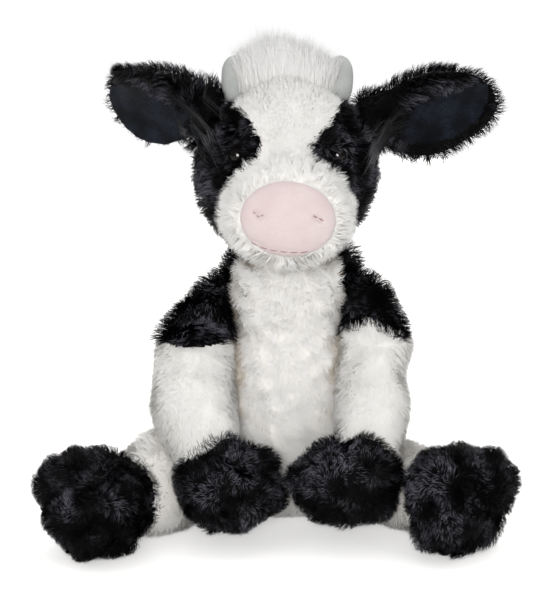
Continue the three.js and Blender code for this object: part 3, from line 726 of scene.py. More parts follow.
def markEar(side):
    ear = skins["ear_" + side]
    middle = faceMiddles(ear) * 1000
    facing = ear["normals"][ear["quads"]].mean(1)[:, 1] < -liningFacing
    lining = facing & inside(middle[:, 0], middle[:, 2], liningEdge[side])
    ear["zone"] = np.where(lining, "ear_lining_" + side, "ear_back_" + side)


markHead()
markChest()
markSleeve()
for side in ("left", "right"):
    markEar(side)
print("colours marked")

lumps = {  # metres: height and size of the lumps under each kind of panel
    "hoof": (0.0020, 0.017),
    "black": (0.0012, 0.018),
    "belly": (0.0009, 0.012),
    "white": (0.0003, 0.015),
}
lumpRounds = 2  # smoothing after the lumps are raised


def lumpKind(node):
    if "hoof" in node:
        return "hoof"
    if node in ("shoulder_yoke", "tail_tuft") or "cheek" in node or "upper_arm" in node:
        return "black"
    return "belly" if node == "belly_panel" else "white"


def addLumps(skin, seed):
    points, quads = skin["points"], skin["quads"]
    kinds = np.array([lumpKind(node) for node in skin["zone"]])
    height = np.zeros(len(points))
    for kind, (high, size) in lumps.items():
        mine = (kinds == kind).astype(float)
        share = np.zeros(len(points))
        for corner in range(4):
            share += np.bincount(quads[:, corner], mine, len(points))
        height += share / 4 * high * ripple(points, size, seed, 1)[:, 0]
    points = points + skin["normals"] * height[:, None]
    skin["points"] = relax(points, quads, lumpRounds)
    skin["normals"] = vertexNormals(skin["points"], quads)


for order, body in enumerate(skins):
    if not body.startswith("ear"):
        addLumps(skins[body], seeds["lumps"] + order)


middleOf = {n: np.array((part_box(n)[0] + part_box(n)[1]) / 2) for n in nodes}


# combs give the way that the pile is brushed at some points; x is to the cow's left and y to its back


def combAlong(*way):  # the same way everywhere
    def comb(points):
        return np.tile(unit(np.array(way, float)), (len(points), 1))

    return comb


def combApart(outwards, *way):  # away from the middle on both sides
    def comb(points):
        return unit(np.sign(points[:, :1]) * np.array([[outwards, 0, 0]]) + np.array([way]))

    return comb


def combBelly(points):  # down, and a little outwards towards the arms
    way = combAlong(0, -0.1, -1)(points)
    halfWidth, outwards = 0.03, 0.35
    way[:, 0] += np.clip(points[:, 0] / halfWidth, -1, 1) * outwards
    return unit(way)


def combMuzzle(points):  # outwards from the nose and back
    way, backwards = points - middleOf["nose_pad"], 0.35
    way[:, 1] = backwards * np.linalg.norm(way, axis=1)
    return unit(way)


def combBlaze(points):  # away from the nose
    way, depthShare = points - middleOf["nose_pad"], 0.6
    way[:, 1] *= depthShare
    return unit(way)


combArm = combAlong(0, -0.35, -1)
fan = {"foot": (0.052, 0.0, 0.098), "rise": 0.010, "upwards": 0.012}  # metres


def combForearmLeft(points):  # a fan of long fur stands up over the black sleeve
    foot = np.array(fan["foot"])
    share = np.clip((points[:, 2] - foot[2]) / fan["rise"], 0, 1)[:, None] * (points[:, 1:2] < foot[1])
    up = points - foot
    up[:, 1] = 0.0
    up = unit(up + np.array([0, 0, fan["upwards"]]))
    return unit(combArm(points) * (1 - share) + up * share)


def combSeat(points):  # outwards and down
    way, down = points - np.array([0, 0, 0.1]), 0.06
    way[:, 2] = -down
    return unit(way)


def combEar(side):  # from the ear's root to its tip, and down a little
    root, droop = np.array([side * 0.045, -0.003, 0.222]), np.array([0, 0, -0.008])

    def comb(points):
        return unit(points - root + droop)

    return comb


def combHoof(name):  # outwards from the middle, and down
    centre, depthShare, lay = middleOf[name], 0.7, np.array([0, 0.1, -0.25])

    def comb(points):
        way = points - centre
        way[:, 1] *= depthShare
        return unit(unit(way) + lay)

    return comb


combTail = combAlong(0, 1, -0.3)

# where the pile is longer or shorter: place and reach in millimetres, and how much
longer = {
    "muzzle_cover": [((0, -55, 156), 26, 0.8), ((-37, -56, 184), 12, 0.5), ((38, -56, 186), 12, 0.4)],
    "belly_panel": [((0, -36, 146), 22, 0.5), ((0, -42, 70), 26, 0.2)],
    "shoulder_yoke": [((34, 0, 146), 22, 0.6), ((-34, 0, 146), 22, 0.6)],
    "forearm_cover_left": [((52, -12, 112), 16, 1.0)],
    "upper_arm_cover_left": [((38, -5, 136), 18, 0.4)],
    "upper_arm_cover_right": [
        ((-38, -5, 136), 18, 0.4), ((-48, -35, 112), 20, 0.5), ((-62, -20, 108), 14, 0.5),
    ],
    "blaze_cover": [((0, -25, 250), 20, 0.25), ((-1, -20, 253), 10, 0.2)],
    "ear_back_left": [
        ((56, 0, 245), 20, 0.3), ((84, 0, 252), 22, 0.3), ((84, 0, 203), 22, 0.4),
        ((118, 0, 228), 14, 0.2), ((92, -10, 229), 22, -0.4),
    ],
    "ear_back_right": [
        ((-55, 0, 245), 26, 0.45), ((-50, 0, 204), 12, 0.7), ((-104, 22, 232), 14, -0.55),
        ((-96, 16, 222), 14, -0.55), ((-86, 10, 214), 14, -0.55), ((-74, 4, 208), 13, -0.55),
        ((-63, 0, 205), 9, -0.3), ((-88, -8, 228), 22, -0.4),
    ],
    "cheek_cover_left": [((46, 0, 175), 22, 0.15), ((30, -43, 211), 6.5, -0.8)],
    "cheek_cover_right": [((-46, 0, 175), 22, 0.35), ((-30, -43, 211), 6.5, -0.8)],
}
leastLength = 0.18  # share of its length that the pile keeps everywhere


def lengthShare(points, spots):
    value = np.ones(len(points))
    for place, reach, more in spots:
        value += more * fade(toSpot(points, place), reach)
    return np.maximum(value, leastLength)


# A pile, in metres and degrees: length and how much it varies; lean at root and tip; curl; stray,
# swirl and its size, which turn the strands about; strands in a tuft and its grip on them; strands
# per square millimetre; width and steps of a strand; softness, which evens out the shading; tone,
# from 0 for the shaded colour to 1 for the clean one, its variation by strand and by patch, and how
# much the painted sheen spots raise it and the painted shade beside another body and along the
# seams lowers it; least share of the length beside another body.
# in the black pile the tone patches (patch, patchVary) are painted sheen, as the sheen spots are
blackPileCut = {
    "length": 0.0068, "vary": 0.22, "lean": (14, 58), "curl": 0.32, "stray": 0.5, "swirl": 1.1,
    "swirlSize": 0.020, "tuft": 16, "grip": 0.6, "density": 1.25, "width": 0.00036, "steps": 3,
    "softness": 0.62, "tone": 0.2, "toneVary": 0.15, "patch": 0.016, "patchVary": 0.32, "brushedNapAndPaintedSheen": 2.2,
    "paintedCreaseShade": 0.9, "least": 0.45, "paintedSeamShade": [],
}
hoofPileCut = dict(
    blackPileCut, length=0.0064, lean=(34, 74), stray=0.6, swirl=1.4, swirlSize=0.022, tuft=20,
    grip=0.5, density=1.4,
)
earPileCut = dict(blackPileCut, length=0.0066, lean=(24, 68))
whitePileCut = {
    "length": 0.0066, "vary": 0.22, "lean": (18, 64), "curl": 0.4, "stray": 0.6, "swirl": 0.9,
    "swirlSize": 0.020, "tuft": 14, "grip": 0.2, "density": 2.0, "width": 0.00034, "steps": 2,
    "softness": 0.97, "tone": 0.97, "toneVary": 0.04, "patch": 0.02, "patchVary": 0.03, "brushedNapAndPaintedSheen": 0.0,
    "paintedCreaseShade": 0.8, "least": 0.75, "paintedSeamShade": [],
}
bellySeamShade = [  # painted shade along the belly's seam creases: two ends and reach in millimetres, and how much darker the pile is there
    ((1.5, -44, 98), (1.5, -44, 50), 3.4, 0.8),
    ((2, -44, 64), (27, -38, 62), 3.2, 0.7),
    ((-10, -42, 84), (-30, -36, 92), 3, 0.3),
]
bellyPileCut = dict(
    whitePileCut, paintedSeamShade=bellySeamShade, length=0.0062, lean=(24, 68), curl=0.5, swirl=1.6, swirlSize=0.014,
    tuft=18, grip=0.3, softness=0.96, patch=0.010, patchVary=0.05,
)
# the arms' lower tone is painted shade as well
armPileCut = dict(
    whitePileCut, tone=0.95, paintedCreaseShade=0.5, length=0.0056, lean=(30, 74), curl=0.28, stray=0.45, swirl=0.7,
)
blazePileCut = dict(
    whitePileCut, length=0.0050, lean=(20, 66), stray=0.75, swirl=1.2, swirlSize=0.012, tuft=12,
    density=2.4,
)
muzzlePileCut = dict(whitePileCut, tuft=26, grip=0.58, softness=0.87, toneVary=0.08, paintedCreaseShade=0.25)
backPileCut = dict(whitePileCut, density=1.35, width=0.00042, paintedCreaseShade=0.4)
legPileCut = dict(whitePileCut, density=1.6, width=0.00038, paintedCreaseShade=0.2)
tailPileCut = dict(whitePileCut, paintedCreaseShade=0.15)


def peltOn(body, look, pile, comb, *hidden):  # what one fur panel is made from
    return {"body": body, "look": look, "pile": pile, "comb": comb, "with": hidden}


pelts = {  # a fur panel: its body, finish, pile, comb and the hidden CAD nodes that it also stands for
    "belly_panel": peltOn("torso", "whitePile", bellyPileCut, combBelly, "torso_stuffing"),
    "shoulder_yoke": peltOn("torso", "blackPile", blackPileCut, combApart(0.5, 0, 0.2, -1)),
    "seat_cover": peltOn("torso", "whitePile", backPileCut, combSeat, "seat_pellet_bag"),
    "blaze_cover": peltOn("head", "plainPile", blazePileCut, combBlaze, "head_stuffing"),
    "muzzle_cover": peltOn("head", "whitePile", muzzlePileCut, combMuzzle),
    "tail_cover": peltOn("tail", "whitePile", tailPileCut, combTail),
    "tail_tuft": peltOn("tail", "blackPile", blackPileCut, combTail),
}
combCheek = combApart(0.8, 0, 0.7, -0.75)
combForearm = {"left": combForearmLeft, "right": combArm}
for side, sign in (("left", 1), ("right", -1)):
    ear, arm, leg = "ear_" + side, "arm_" + side, "leg_" + side
    frontHoof, hindHoof = "front_hoof_cover_" + side, "hind_hoof_cover_" + side
    combLeg = combAlong(sign * 0.55, -0.75, -0.25)
    pelts["cheek_cover_" + side] = peltOn("head", "blackPile", blackPileCut, combCheek)
    pelts["ear_back_" + side] = peltOn(ear, "blackPile", earPileCut, combEar(sign))
    pelts["upper_arm_cover_" + side] = peltOn(
        arm, "blackPile", blackPileCut, combArm, "arm_stuffing_" + side
    )
    pelts["forearm_cover_" + side] = peltOn(arm, "plainPile", armPileCut, combForearm[side])
    pelts[frontHoof] = peltOn(
        arm, "blackPile", hoofPileCut, combHoof(frontHoof), "front_hoof_pellet_bag_" + side
    )
    pelts["leg_cover_" + side] = peltOn(leg, "whitePile", legPileCut, combLeg, "leg_stuffing_" + side)
    pelts[hindHoof] = peltOn(
        leg, "blackPile", hoofPileCut, combHoof(hindHoof), "hind_hoof_pellet_bag_" + side
    )

neighbours = {
    "torso": ["head", "arm_left", "arm_right", "leg_left", "leg_right", "tail"],
    "head": ["torso", "ear_left", "ear_right", "arm_left", "arm_right"],
    "ear_left": ["head"],
    "ear_right": ["head"],
    "arm_left": ["torso", "leg_left", "arm_right", "head"],
    "arm_right": ["torso", "leg_right", "arm_left", "head"],
    "leg_left": ["torso", "arm_left"],
    "leg_right": ["torso", "arm_right"],
    "tail": ["torso"],
}


pileRules = {  # metres where nothing else is said
    "roomLimit": 0.012,  # further off than this, another body doesn't matter
    "roomAt": 0.004,  # height over the cloth at which the room is measured
    "noRoom": 0.5,  # share of its length that a strand keeps with no room
    "roomForAll": 0.005,  # and how much room adds a whole length to that
    "paintedShadeRoom": 0.007,  # with less room than this the strands are darker: painted shade beside another body
    "floor": 0.0004,  # strands lie along the floor, not under it
    "grips": (0.45, 1.15),  # least and most of a tuft's grip, as shares
    "gripAlong": 1.3,  # power by which the grip grows from root to tip
    "mostGrip": 0.95,
    "tuftTone": 0.7,  # shares of the pile's toneVary from tuft to tuft
    "strandTone": 0.5,  # and from strand to strand
    "tones": (0.02, 0.97),  # darkest and cleanest
    "clothTone": (0.03, 0.04),  # size of the patches of the backing cloth's tone, and their strength
}
ribbonRules = {
    "roll": 0.45,  # radians that ribbons are turned about their own length
    "widths": (0.75, 1.25),  # thinnest and widest, as shares of the pile's width
    "ends": (0.8, 0.72),  # shares of the width at the root and just before the tip
    "round": 0.6,  # how round a ribbon looks across its width
    "tip": 0.4,  # how much the shading of the tip turns along the strand
    "wave": 5,  # radians that a curl turns along the strand
}
bakeMap = {"spread": 0.006, "rise": 0.01, "cloth": 0.03, "root": 0.02, "along": 0.96}  # shares of the map


def roomTo(body, points):  # how far each point is outside the neighbouring bodies
    limit = pileRules["roomLimit"]
    room = np.full(len(points), limit)
    for other in neighbours.get(body, []):
        solid = solids[other]
        near = np.all((points > solid["low"] - limit) & (points < solid["high"] + limit), axis=1)
        for k in np.nonzero(near)[0]:
            place, normal, _, gap = solid["tree"].find_nearest(points[k], limit)
            if place is not None:
                outside = (Vector(points[k]) - place).dot(normal)
                room[k] = min(room[k], gap if outside > 0 else -gap)
    return room


def strandLines(root, normal, way, length, pile, source):  # each strand's points from root to tip
    steps = pile["steps"]
    side = np.cross(normal, way)
    line = [root]
    curlTurn = source.uniform(0, 2 * math.pi, len(root))
    for k in range(steps):
        share = (k + 0.5) / steps
        lean = math.radians(pile["lean"][0] + (pile["lean"][1] - pile["lean"][0]) * share)
        ahead = normal * math.cos(lean) + way * math.sin(lean)
        curl = np.sin(curlTurn + share * ribbonRules["wave"]) * pile["curl"]
        ahead = ahead + side * curl[:, None]
        line.append(line[-1] + unit(ahead) * (length / steps)[:, None])
    return np.stack(line, 1)


def ribbons(line, normal, width, source, tone, softness):  # tapering, and flat towards the outside
    count, steps = len(line), line.shape[1] - 1
    rules = ribbonRules
    ahead = unit(np.diff(line, axis=1))
    ahead = np.concatenate([ahead, ahead[:, -1:]], 1)
    across = unit(np.cross(ahead, normal[:, None]))
    roll = source.normal(0, rules["roll"], count)[:, None, None]
    across = across * np.cos(roll) + np.cross(ahead, across) * np.sin(roll)
    first, last = rules["ends"]
    taper = np.array([first] + [1.0] * (steps - 2) + [last, 0.0])
    half = (width / 2 * source.uniform(*rules["widths"], count))[:, None] * taper[None]
    lit = unit(unit(np.cross(across, ahead)) * (1 - softness) + normal[:, None] * softness)
    left = line - across * half[..., None]
    right = line + across * half[..., None]
    places = np.empty((count, 2 * steps + 1, 3))
    shading = np.empty_like(places)
    along = np.empty((count, 2 * steps + 1))
    for k in range(steps):
        places[:, 2 * k], places[:, 2 * k + 1] = left[:, k], right[:, k]
        outwards = across[:, k] * rules["round"] * (1 - softness)
        shading[:, 2 * k], shading[:, 2 * k + 1] = lit[:, k] - outwards, lit[:, k] + outwards
        along[:, 2 * k] = along[:, 2 * k + 1] = k / steps
    places[:, -1], along[:, -1] = line[:, -1], 1.0
    shading[:, -1] = unit(lit[:, -1] + ahead[:, -1] * rules["tip"])
    tone = np.clip(tone, *pileRules["tones"])
    return {"places": places, "shading": unit(shading), "along": along, "tone": tone, "steps": steps}


# painted sheen on the dark pile, lighter patches that stand for its shine: place, reach in millimetres,
# how much lighter
brushedNapAndPaintedSheen = [
    ((-46, -35, 126), 17, 0.45), ((-28, -92, 55), 16, 0.45), ((-45, -98, 33), 9, 0.25),
    ((17, -92, 50), 18, 0.5), ((27, -88, 64), 11, 0.3), ((44, -96, 46), 15, -0.2),
    ((-50, -96, 50), 12, -0.2), ((-104, -100, 59), 12, 0.35), ((-91, -108, 40), 9, 0.25),
    ((-118, -100, 36), 10, 0.2), ((-98, -108, 20), 14, -0.25), ((73, -100, 49), 15, 0.35),
    ((100, -104, 40), 12, -0.2), ((104, -98, 58), 9, 0.25), ((-44, -30, 190), 13, 0.3),
    ((-38, -38, 224), 9, 0.3), ((26, -40, 216), 9, 0.25), ((40, -30, 226), 10, 0.2),
    ((52, -28, 142), 13, 0.25), ((48, -30, 122), 10, 0.15), ((-76, -5, 247), 13, 0.3),
    ((95, 0, 244), 12, 0.2), ((46, -24, 190), 10, 0.2), ((-50, -10, 250), 8, 0.35),
    ((-92, 0, 250), 8, 0.2), ((78, 0, 252), 10, 0.2),
]


def sow(skin, faces, density, source):  # the strands' roots, evenly over the cloth, and the normals there
    tris = np.concatenate([faces[:, [0, 1, 2]], faces[:, [0, 2, 3]]])
    corner = skin["points"][tris]
    doubled = np.cross(corner[:, 1] - corner[:, 0], corner[:, 2] - corner[:, 0])
    area = np.linalg.norm(doubled, axis=1) / 2
    count = int(area.sum() * 1e6 * density)
    pick = tris[source.choice(len(tris), count, p=area / area.sum())]
    a, b = source.random(count), source.random(count)
    flip = a + b > 1
    a[flip], b[flip] = 1 - a[flip], 1 - b[flip]
    share = np.stack([1 - a - b, a, b], 1)[:, :, None]
    return (skin["points"][pick] * share).sum(1), unit((skin["normals"][pick] * share).sum(1))


def tufted(line, root, length, pile, source):  # bends each strand to the nearest leading strand
    count = len(line)
    leaders = source.choice(count, max(1, count // pile["tuft"]), replace=False)
    index = KDTree(len(leaders))
    for k, leader in enumerate(leaders):
        index.insert(root[leader], k)
    index.balance()
    mine = leaders[[index.find(p)[1] for p in root]]
    hold = (np.linspace(0, 1, pile["steps"] + 1) ** pileRules["gripAlong"])[None, :, None] * pile["grip"]
    hold = hold * source.uniform(*pileRules["grips"], count)[:, None, None]
    hold = np.clip(hold, 0, pileRules["mostGrip"])
    shrink = np.clip(length / length[mine], 0, 1)[:, None, None]
    leadRoot = root[mine][:, None]
    lead = leadRoot + (line[mine] - leadRoot) * shrink
    line = line * (1 - hold) + lead * hold
    line[:, :, 2] = np.maximum(line[:, :, 2], pileRules["floor"])
    return line, mine


def toneOf(root, room, mine, pile, seed, source):  # painted shade: darker beside another body and along the seams; painted sheen: lighter at the sheen spots
    tuftTone = source.normal(0, pile["toneVary"] * pileRules["tuftTone"], len(root))[mine]
    ownTone = source.normal(0, pile["toneVary"] * pileRules["strandTone"], len(root))
    patches = ripple(root, pile["patch"], seed, 1)[:, 0] * pile["patchVary"]
    tone = pile["tone"] + tuftTone + ownTone + patches
    tone = tone - np.clip(1 - room / pileRules["paintedShadeRoom"], 0, 1) * pile["paintedCreaseShade"]
    for one, two, reach, less in pile["paintedSeamShade"]:
        tone = tone - fade(toLine(root, one, two)[0], reach) * less
    # painted sheen: a higher tone here shows the light tips
    for place, reach, more in brushedNapAndPaintedSheen:
        tone = tone + fade(toSpot(root, place), reach) * more * pile["brushedNapAndPaintedSheen"]
    return tone


def growPile(skin, faces, body, pile, comb, seed, longerSpots=()):
    source = np.random.default_rng(seed)
    root, normal = sow(skin, faces, pile["density"], source)
    count = len(root)
    room = roomTo(body, root + normal * pileRules["roomAt"])
    way = comb(root)
    swirl = ripple(root, pile["swirlSize"], seed + seeds["swirls"], 1)[:, 0] * pile["swirl"]
    yaw = swirl + source.normal(0, pile["stray"], count)
    way = way - normal * (way * normal).sum(1, keepdims=True)
    way = unit(way + 1e-6)
    side = np.cross(normal, way)
    way = way * np.cos(yaw)[:, None] + side * np.sin(yaw)[:, None]
    length = pile["length"] * (1 + pile["vary"] * source.uniform(-1, 1, count))
    length = length * lengthShare(root, longerSpots)
    length = length * np.clip(pileRules["noRoom"] + room / pileRules["roomForAll"], pile["least"], 1.0)
    line = strandLines(root, normal, way, length, pile, source)
    line, mine = tufted(line, root, length, pile, source)
    tone = toneOf(root, room, mine, pile, seed + seeds["patches"], source)
    return ribbons(line, normal, pile["width"], source, tone, pile["softness"])


def panelMesh(name, skin, faces, pile, look, seed):  # the backing cloth and its pile as one mesh
    used, backing = np.unique(faces, return_inverse=True)
    backing = backing.reshape(-1, 4)
    backPoints, backNormals = skin["points"][used], skin["normals"][used]
    patchSize, patchTone = pileRules["clothTone"]
    patches = ripple(backPoints, patchSize, seed + seeds["patches"], 1)[:, 0] * patchTone
    backTone = np.clip(np.median(pile["tone"]) + patches, *pileRules["tones"])
    steps = pile["steps"]
    each = 2 * steps + 1
    count = len(pile["places"])
    start = len(backPoints)
    base = start + np.arange(count)[:, None] * each
    pattern = []
    for k in range(steps - 1):
        pattern += [2 * k, 2 * k + 1, 2 * k + 3, 2 * k + 2]
    pattern += [2 * steps - 2, 2 * steps - 1, 2 * steps]
    strandCorners = (base + np.array(pattern)[None]).reshape(-1)
    corners = np.concatenate([backing.reshape(-1), strandCorners])
    sizes = np.concatenate([np.full(len(backing), 4), np.tile([4] * (steps - 1) + [3], count)])
    starts = np.concatenate([[0], np.cumsum(sizes)[:-1]])
    places = np.concatenate([backPoints, pile["places"].reshape(-1, 3)])
    shading = np.concatenate([backNormals, pile["shading"].reshape(-1, 3)])
    mesh = bpy.data.meshes.new(name)
    mesh.vertices.add(len(places))
    mesh.vertices.foreach_set("co", places.astype(np.float32).reshape(-1))
    mesh.loops.add(len(corners))
    mesh.loops.foreach_set("vertex_index", corners.astype(np.int32))
    mesh.polygons.add(len(sizes))
    mesh.polygons.foreach_set("loop_start", starts.astype(np.int32))
    mesh.update(calc_edges=True)

    # the map: across it goes the tone, up it goes from root to tip
    spread, rise = bakeMap["spread"], bakeMap["rise"]
    u = pile["tone"][:, None] + np.array([0, 1] * steps + [0.5])[None] * spread
    v = bakeMap["root"] + pile["along"] * bakeMap["along"]
    uvPoint = np.concatenate([np.zeros((start, 2)), np.stack([u.reshape(-1), v.reshape(-1)], 1)])
    uv = uvPoint[corners]
    square = np.tile([[0, 0], [spread, 0], [spread, rise], [0, rise]], (len(backing), 1))
    uv[: len(square), 0] = np.repeat(backTone[backing[:, 0]], 4) + square[:, 0]
    uv[: len(square), 1] = bakeMap["cloth"] + square[:, 1]
    layer = mesh.uv_layers.new(name="OFBake")
    layer.data.foreach_set("uv", uv.astype(np.float32).reshape(-1))
    mesh.materials.append(look)
    mesh.normals_split_custom_set_from_vertices(shading.astype(np.float32))
    return addObject(name, mesh)


def panelName(node):
    words = node.split("_")
    return words[0] + "".join(w.capitalize() for w in words[1:]) + "Fur"


total = 0
for order, (node, pelt) in enumerate(pelts.items()):
    skin = skins[pelt["body"]]
    faces = skin["quads"][skin["zone"] == node]
    seed = seeds["pile"] + order * seeds["pileStep"]
    pile = growPile(skin, faces, pelt["body"], pelt["pile"], pelt["comb"], seed, longer.get(node, ()))
    panel = panelMesh(panelName(node), skin, faces, pile, looks[pelt["look"]], seed)
    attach(panel, pelt["body"])
    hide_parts(node, *pelt["with"])
    tris = len(faces) * 2 + len(pile["places"]) * (pile["steps"] * 2 - 1)
    total += tris
    print("panel", panel.name, tris, "triangles")
print("fur panels:", total, "triangles")


def clothMesh(name, points, quads, look, normals=None):
    used, kept = np.unique(quads, return_inverse=True)
    mesh = bpy.data.meshes.new(name)
    mesh.from_pydata(points[used].tolist(), [], kept.reshape(-1, 4).tolist())
    mesh.shade_smooth()
    mesh.materials.append(look)
    if normals is not None:
        mesh.normals_split_custom_set_from_vertices(normals[used].astype(np.float32))
    return addObject(name, mesh)


for side in ("left", "right"):
    skin = skins["ear_" + side]
    faces = skin["quads"][skin["zone"] == "ear_lining_" + side]
    name = "earLining" + side.capitalize()
    lining = clothMesh(name, skin["points"], faces, looks["darkVelour"], skin["normals"])
    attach(lining, "ear_" + side)
    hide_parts("ear_lining_" + side)

noseTucks = [
    ((-18.5, -86, 188.6), (-15, -88, 185.4), 1.6, 1.3),
    ((-15, -88, 185.4), (-12.5, -88, 187.2), 1.3, 0.8),
    ((13, -89, 186.6), (18.5, -87, 183.6), 1.6, 1.6),
    ((-21, -83, 173), (-10, -88, 168.2), 1.3, 0.8),
    ((-10, -88, 168.2), (12, -88, 166.6), 1.3, 0.8),
]
velourForms = {  # node: piece, voxel, smoothing rounds, look, slot, tucks
    "nose_pad": ("nosePad", 0.0009, 16, "pinkVelour", "pink_velour", noseTucks),
    "horn_left": ("hornLeft", 0.0012, 14, "greyVelour", "grey_velour", ()),
    "horn_right": ("hornRight", 0.0012, 14, "greyVelour", "grey_velour", ()),
}
velourShapes = {}
for node, (name, voxel, rounds, look, slotName, tucks) in velourForms.items():
    form = velourShapes[node] = stuffedForm([node], voxel, 0.0, rounds, (), tucks)
    piece = clothMesh(name, form["points"], form["quads"], looks[look])
    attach(piece, "head")
    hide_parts(node)
print("ear linings, nose pad and horns made")

# piece: the node that it replaces, the line that it follows over the pad (across and up), and the
# stitches' length and thickness, all in millimetres
stitches = {
    "mouthStitches": (
        "mouth_stitch",
        [(-20, 172.2), (-16, 169.9), (-9, 168), (0, 166.9), (8, 166.7), (11, 167.2)],
        5.2, 0.42,
    ),
    "nostrilStitchesRight": (
        "nostril_stitch_right", [(-18.5, 188.8), (-15.2, 185.6), (-12.6, 187.4)], 3.0, 0.40,
    ),
    "nostrilStitchesLeft": (
        "nostril_stitch_left", [(12.6, 186.9), (15.6, 185.3), (18.9, 183.5)], 3.6, 0.62,
    ),
}


stitchForm = {
    "sides": 8,
    "rings": 7,
    "gap": 0.03,  # share of its length that a stitch leaves free at each end
    "arch": 0.0011,  # metres of rise over the pad for each millimetre of thickness
    "sink": 0.0005,  # and of depth in it at both ends
    "ahead": -0.12,  # where the search for the pad's face starts
    "padFace": -0.084,  # about where that face is
    "ends": (0.35, 0.65),  # share of the thickness at the ends, and what the middle has more
    "beyond": 0.4,  # the curve of the thickness goes on for this many rings beyond each end
}


def threadStitches(name, path, long, thick):  # short stitches that go into the pad at both ends
    pad = velourShapes["nose_pad"]
    tree = searchTree(pad["points"], pad["quads"])
    path = np.array(path) / 1000
    run = np.concatenate([[0], np.cumsum(np.linalg.norm(np.diff(path, axis=0), axis=1))])
    count = max(1, round(run[-1] * 1000 / long))
    points, faces = [], []
    sides, rings, gap = stitchForm["sides"], stitchForm["rings"], stitchForm["gap"]
    beyond = stitchForm["beyond"]
    for k in range(count):
        shares = np.linspace((k + gap) / count, (k + 1 - gap) / count, rings) * run[-1]
        centres = []
        for j, at in enumerate(shares):
            x, z = np.interp(at, run, path[:, 0]), np.interp(at, run, path[:, 1])
            hit, normal, _, _ = tree.ray_cast(Vector((x, stitchForm["ahead"], z)), Vector((0, 1, 0)))
            if hit is None:
                hit, normal, _, _ = tree.find_nearest(Vector((x, stitchForm["padFace"], z)))
            arch = math.sin(math.pi * j / (rings - 1)) * thick * stitchForm["arch"]
            lift = arch - thick * stitchForm["sink"]
            centres.append(np.array(hit + normal * lift))
        centres = np.array(centres)
        along = unit(np.gradient(centres, axis=0))
        side = unit(np.cross(along, np.array([0, -1.0, 0])))
        outwards = np.cross(side, along)
        for j in range(rings):
            swell = math.sin(math.pi * (j + beyond) / (rings - 1 + 2 * beyond))
            radius = thick / 2000 * (stitchForm["ends"][0] + stitchForm["ends"][1] * swell)
            for i in range(sides):
                turn = 2 * math.pi * i / sides
                spoke = side[j] * math.cos(turn) + outwards[j] * math.sin(turn)
                points.append(centres[j] + radius * spoke)
        base = k * rings * sides
        for j in range(rings - 1):
            for i in range(sides):
                a, b = base + j * sides + i, base + j * sides + (i + 1) % sides
                faces.append((a, b, b + sides, a + sides))
        faces.append(tuple(base + i for i in reversed(range(sides))))
        faces.append(tuple(base + (rings - 1) * sides + i for i in range(sides)))
    mesh = bpy.data.meshes.new(name)
    mesh.from_pydata([Vector(p) for p in points], [], faces)
    mesh.shade_smooth()
    mesh.materials.append(looks["pinkThread"])
    return addObject(name, mesh)


for name, (node, path, long, thick) in stitches.items():
    piece = threadStitches(name, path, long, thick)
    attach(piece, "head")
    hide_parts(node)
print("stitches made")

eyes = {"joinWithin": 0.00002, "smoothing": 2}  # the CAD dome's facets are joined and rounded off

eyesOnly = bpy.data.collections.new("eyesOnly")
for side in ("left", "right"):
    for node, look in (("eye_" + side, "eyeGloss"), ("eye_washer_" + side, "washerPlastic")):
        mesh = nodes[node].data
        mesh.materials.clear()
        mesh.materials.append(looks[look])
        mesh.shade_smooth()
    eye = nodes["eye_" + side]
    join = eye.modifiers.new("join", "WELD")
    join.merge_threshold = eyes["joinWithin"]
    rounded = eye.modifiers.new("round", "SUBSURF")
    rounded.levels = rounded.render_levels = eyes["smoothing"]
    eyesOnly.objects.link(eye)
glint = bpy.data.objects["glintPanel"]
glint.light_linking.receiver_collection = eyesOnly
glint.visible_diffuse = False
print("eyes finished")

neckForm = {"voxel": 0.0016, "inset": 0.001, "rounds": 8}
neckPileCut = dict(whitePileCut, length=0.007)
neckEdge = 0.002  # metres behind the middle where the neck turns black
neck = stuffedForm(["neck_stuffing"], **neckForm)
neck["zone"] = np.where(faceMiddles(neck)[:, 1] < neckEdge, "front", "back")
for part, look in (("front", "whitePile"), ("back", "blackPile")):
    faces = neck["quads"][neck["zone"] == part]
    pile = growPile(neck, faces, "neck", neckPileCut, combBelly, seeds["neck"])
    name = "neck" + part.capitalize() + "Fur"
    panel = panelMesh(name, neck, faces, pile, looks[look], seeds["neck"])
    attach(panel, "neck")
    if part == "front":
        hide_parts("neck_stuffing")
print("neck made")


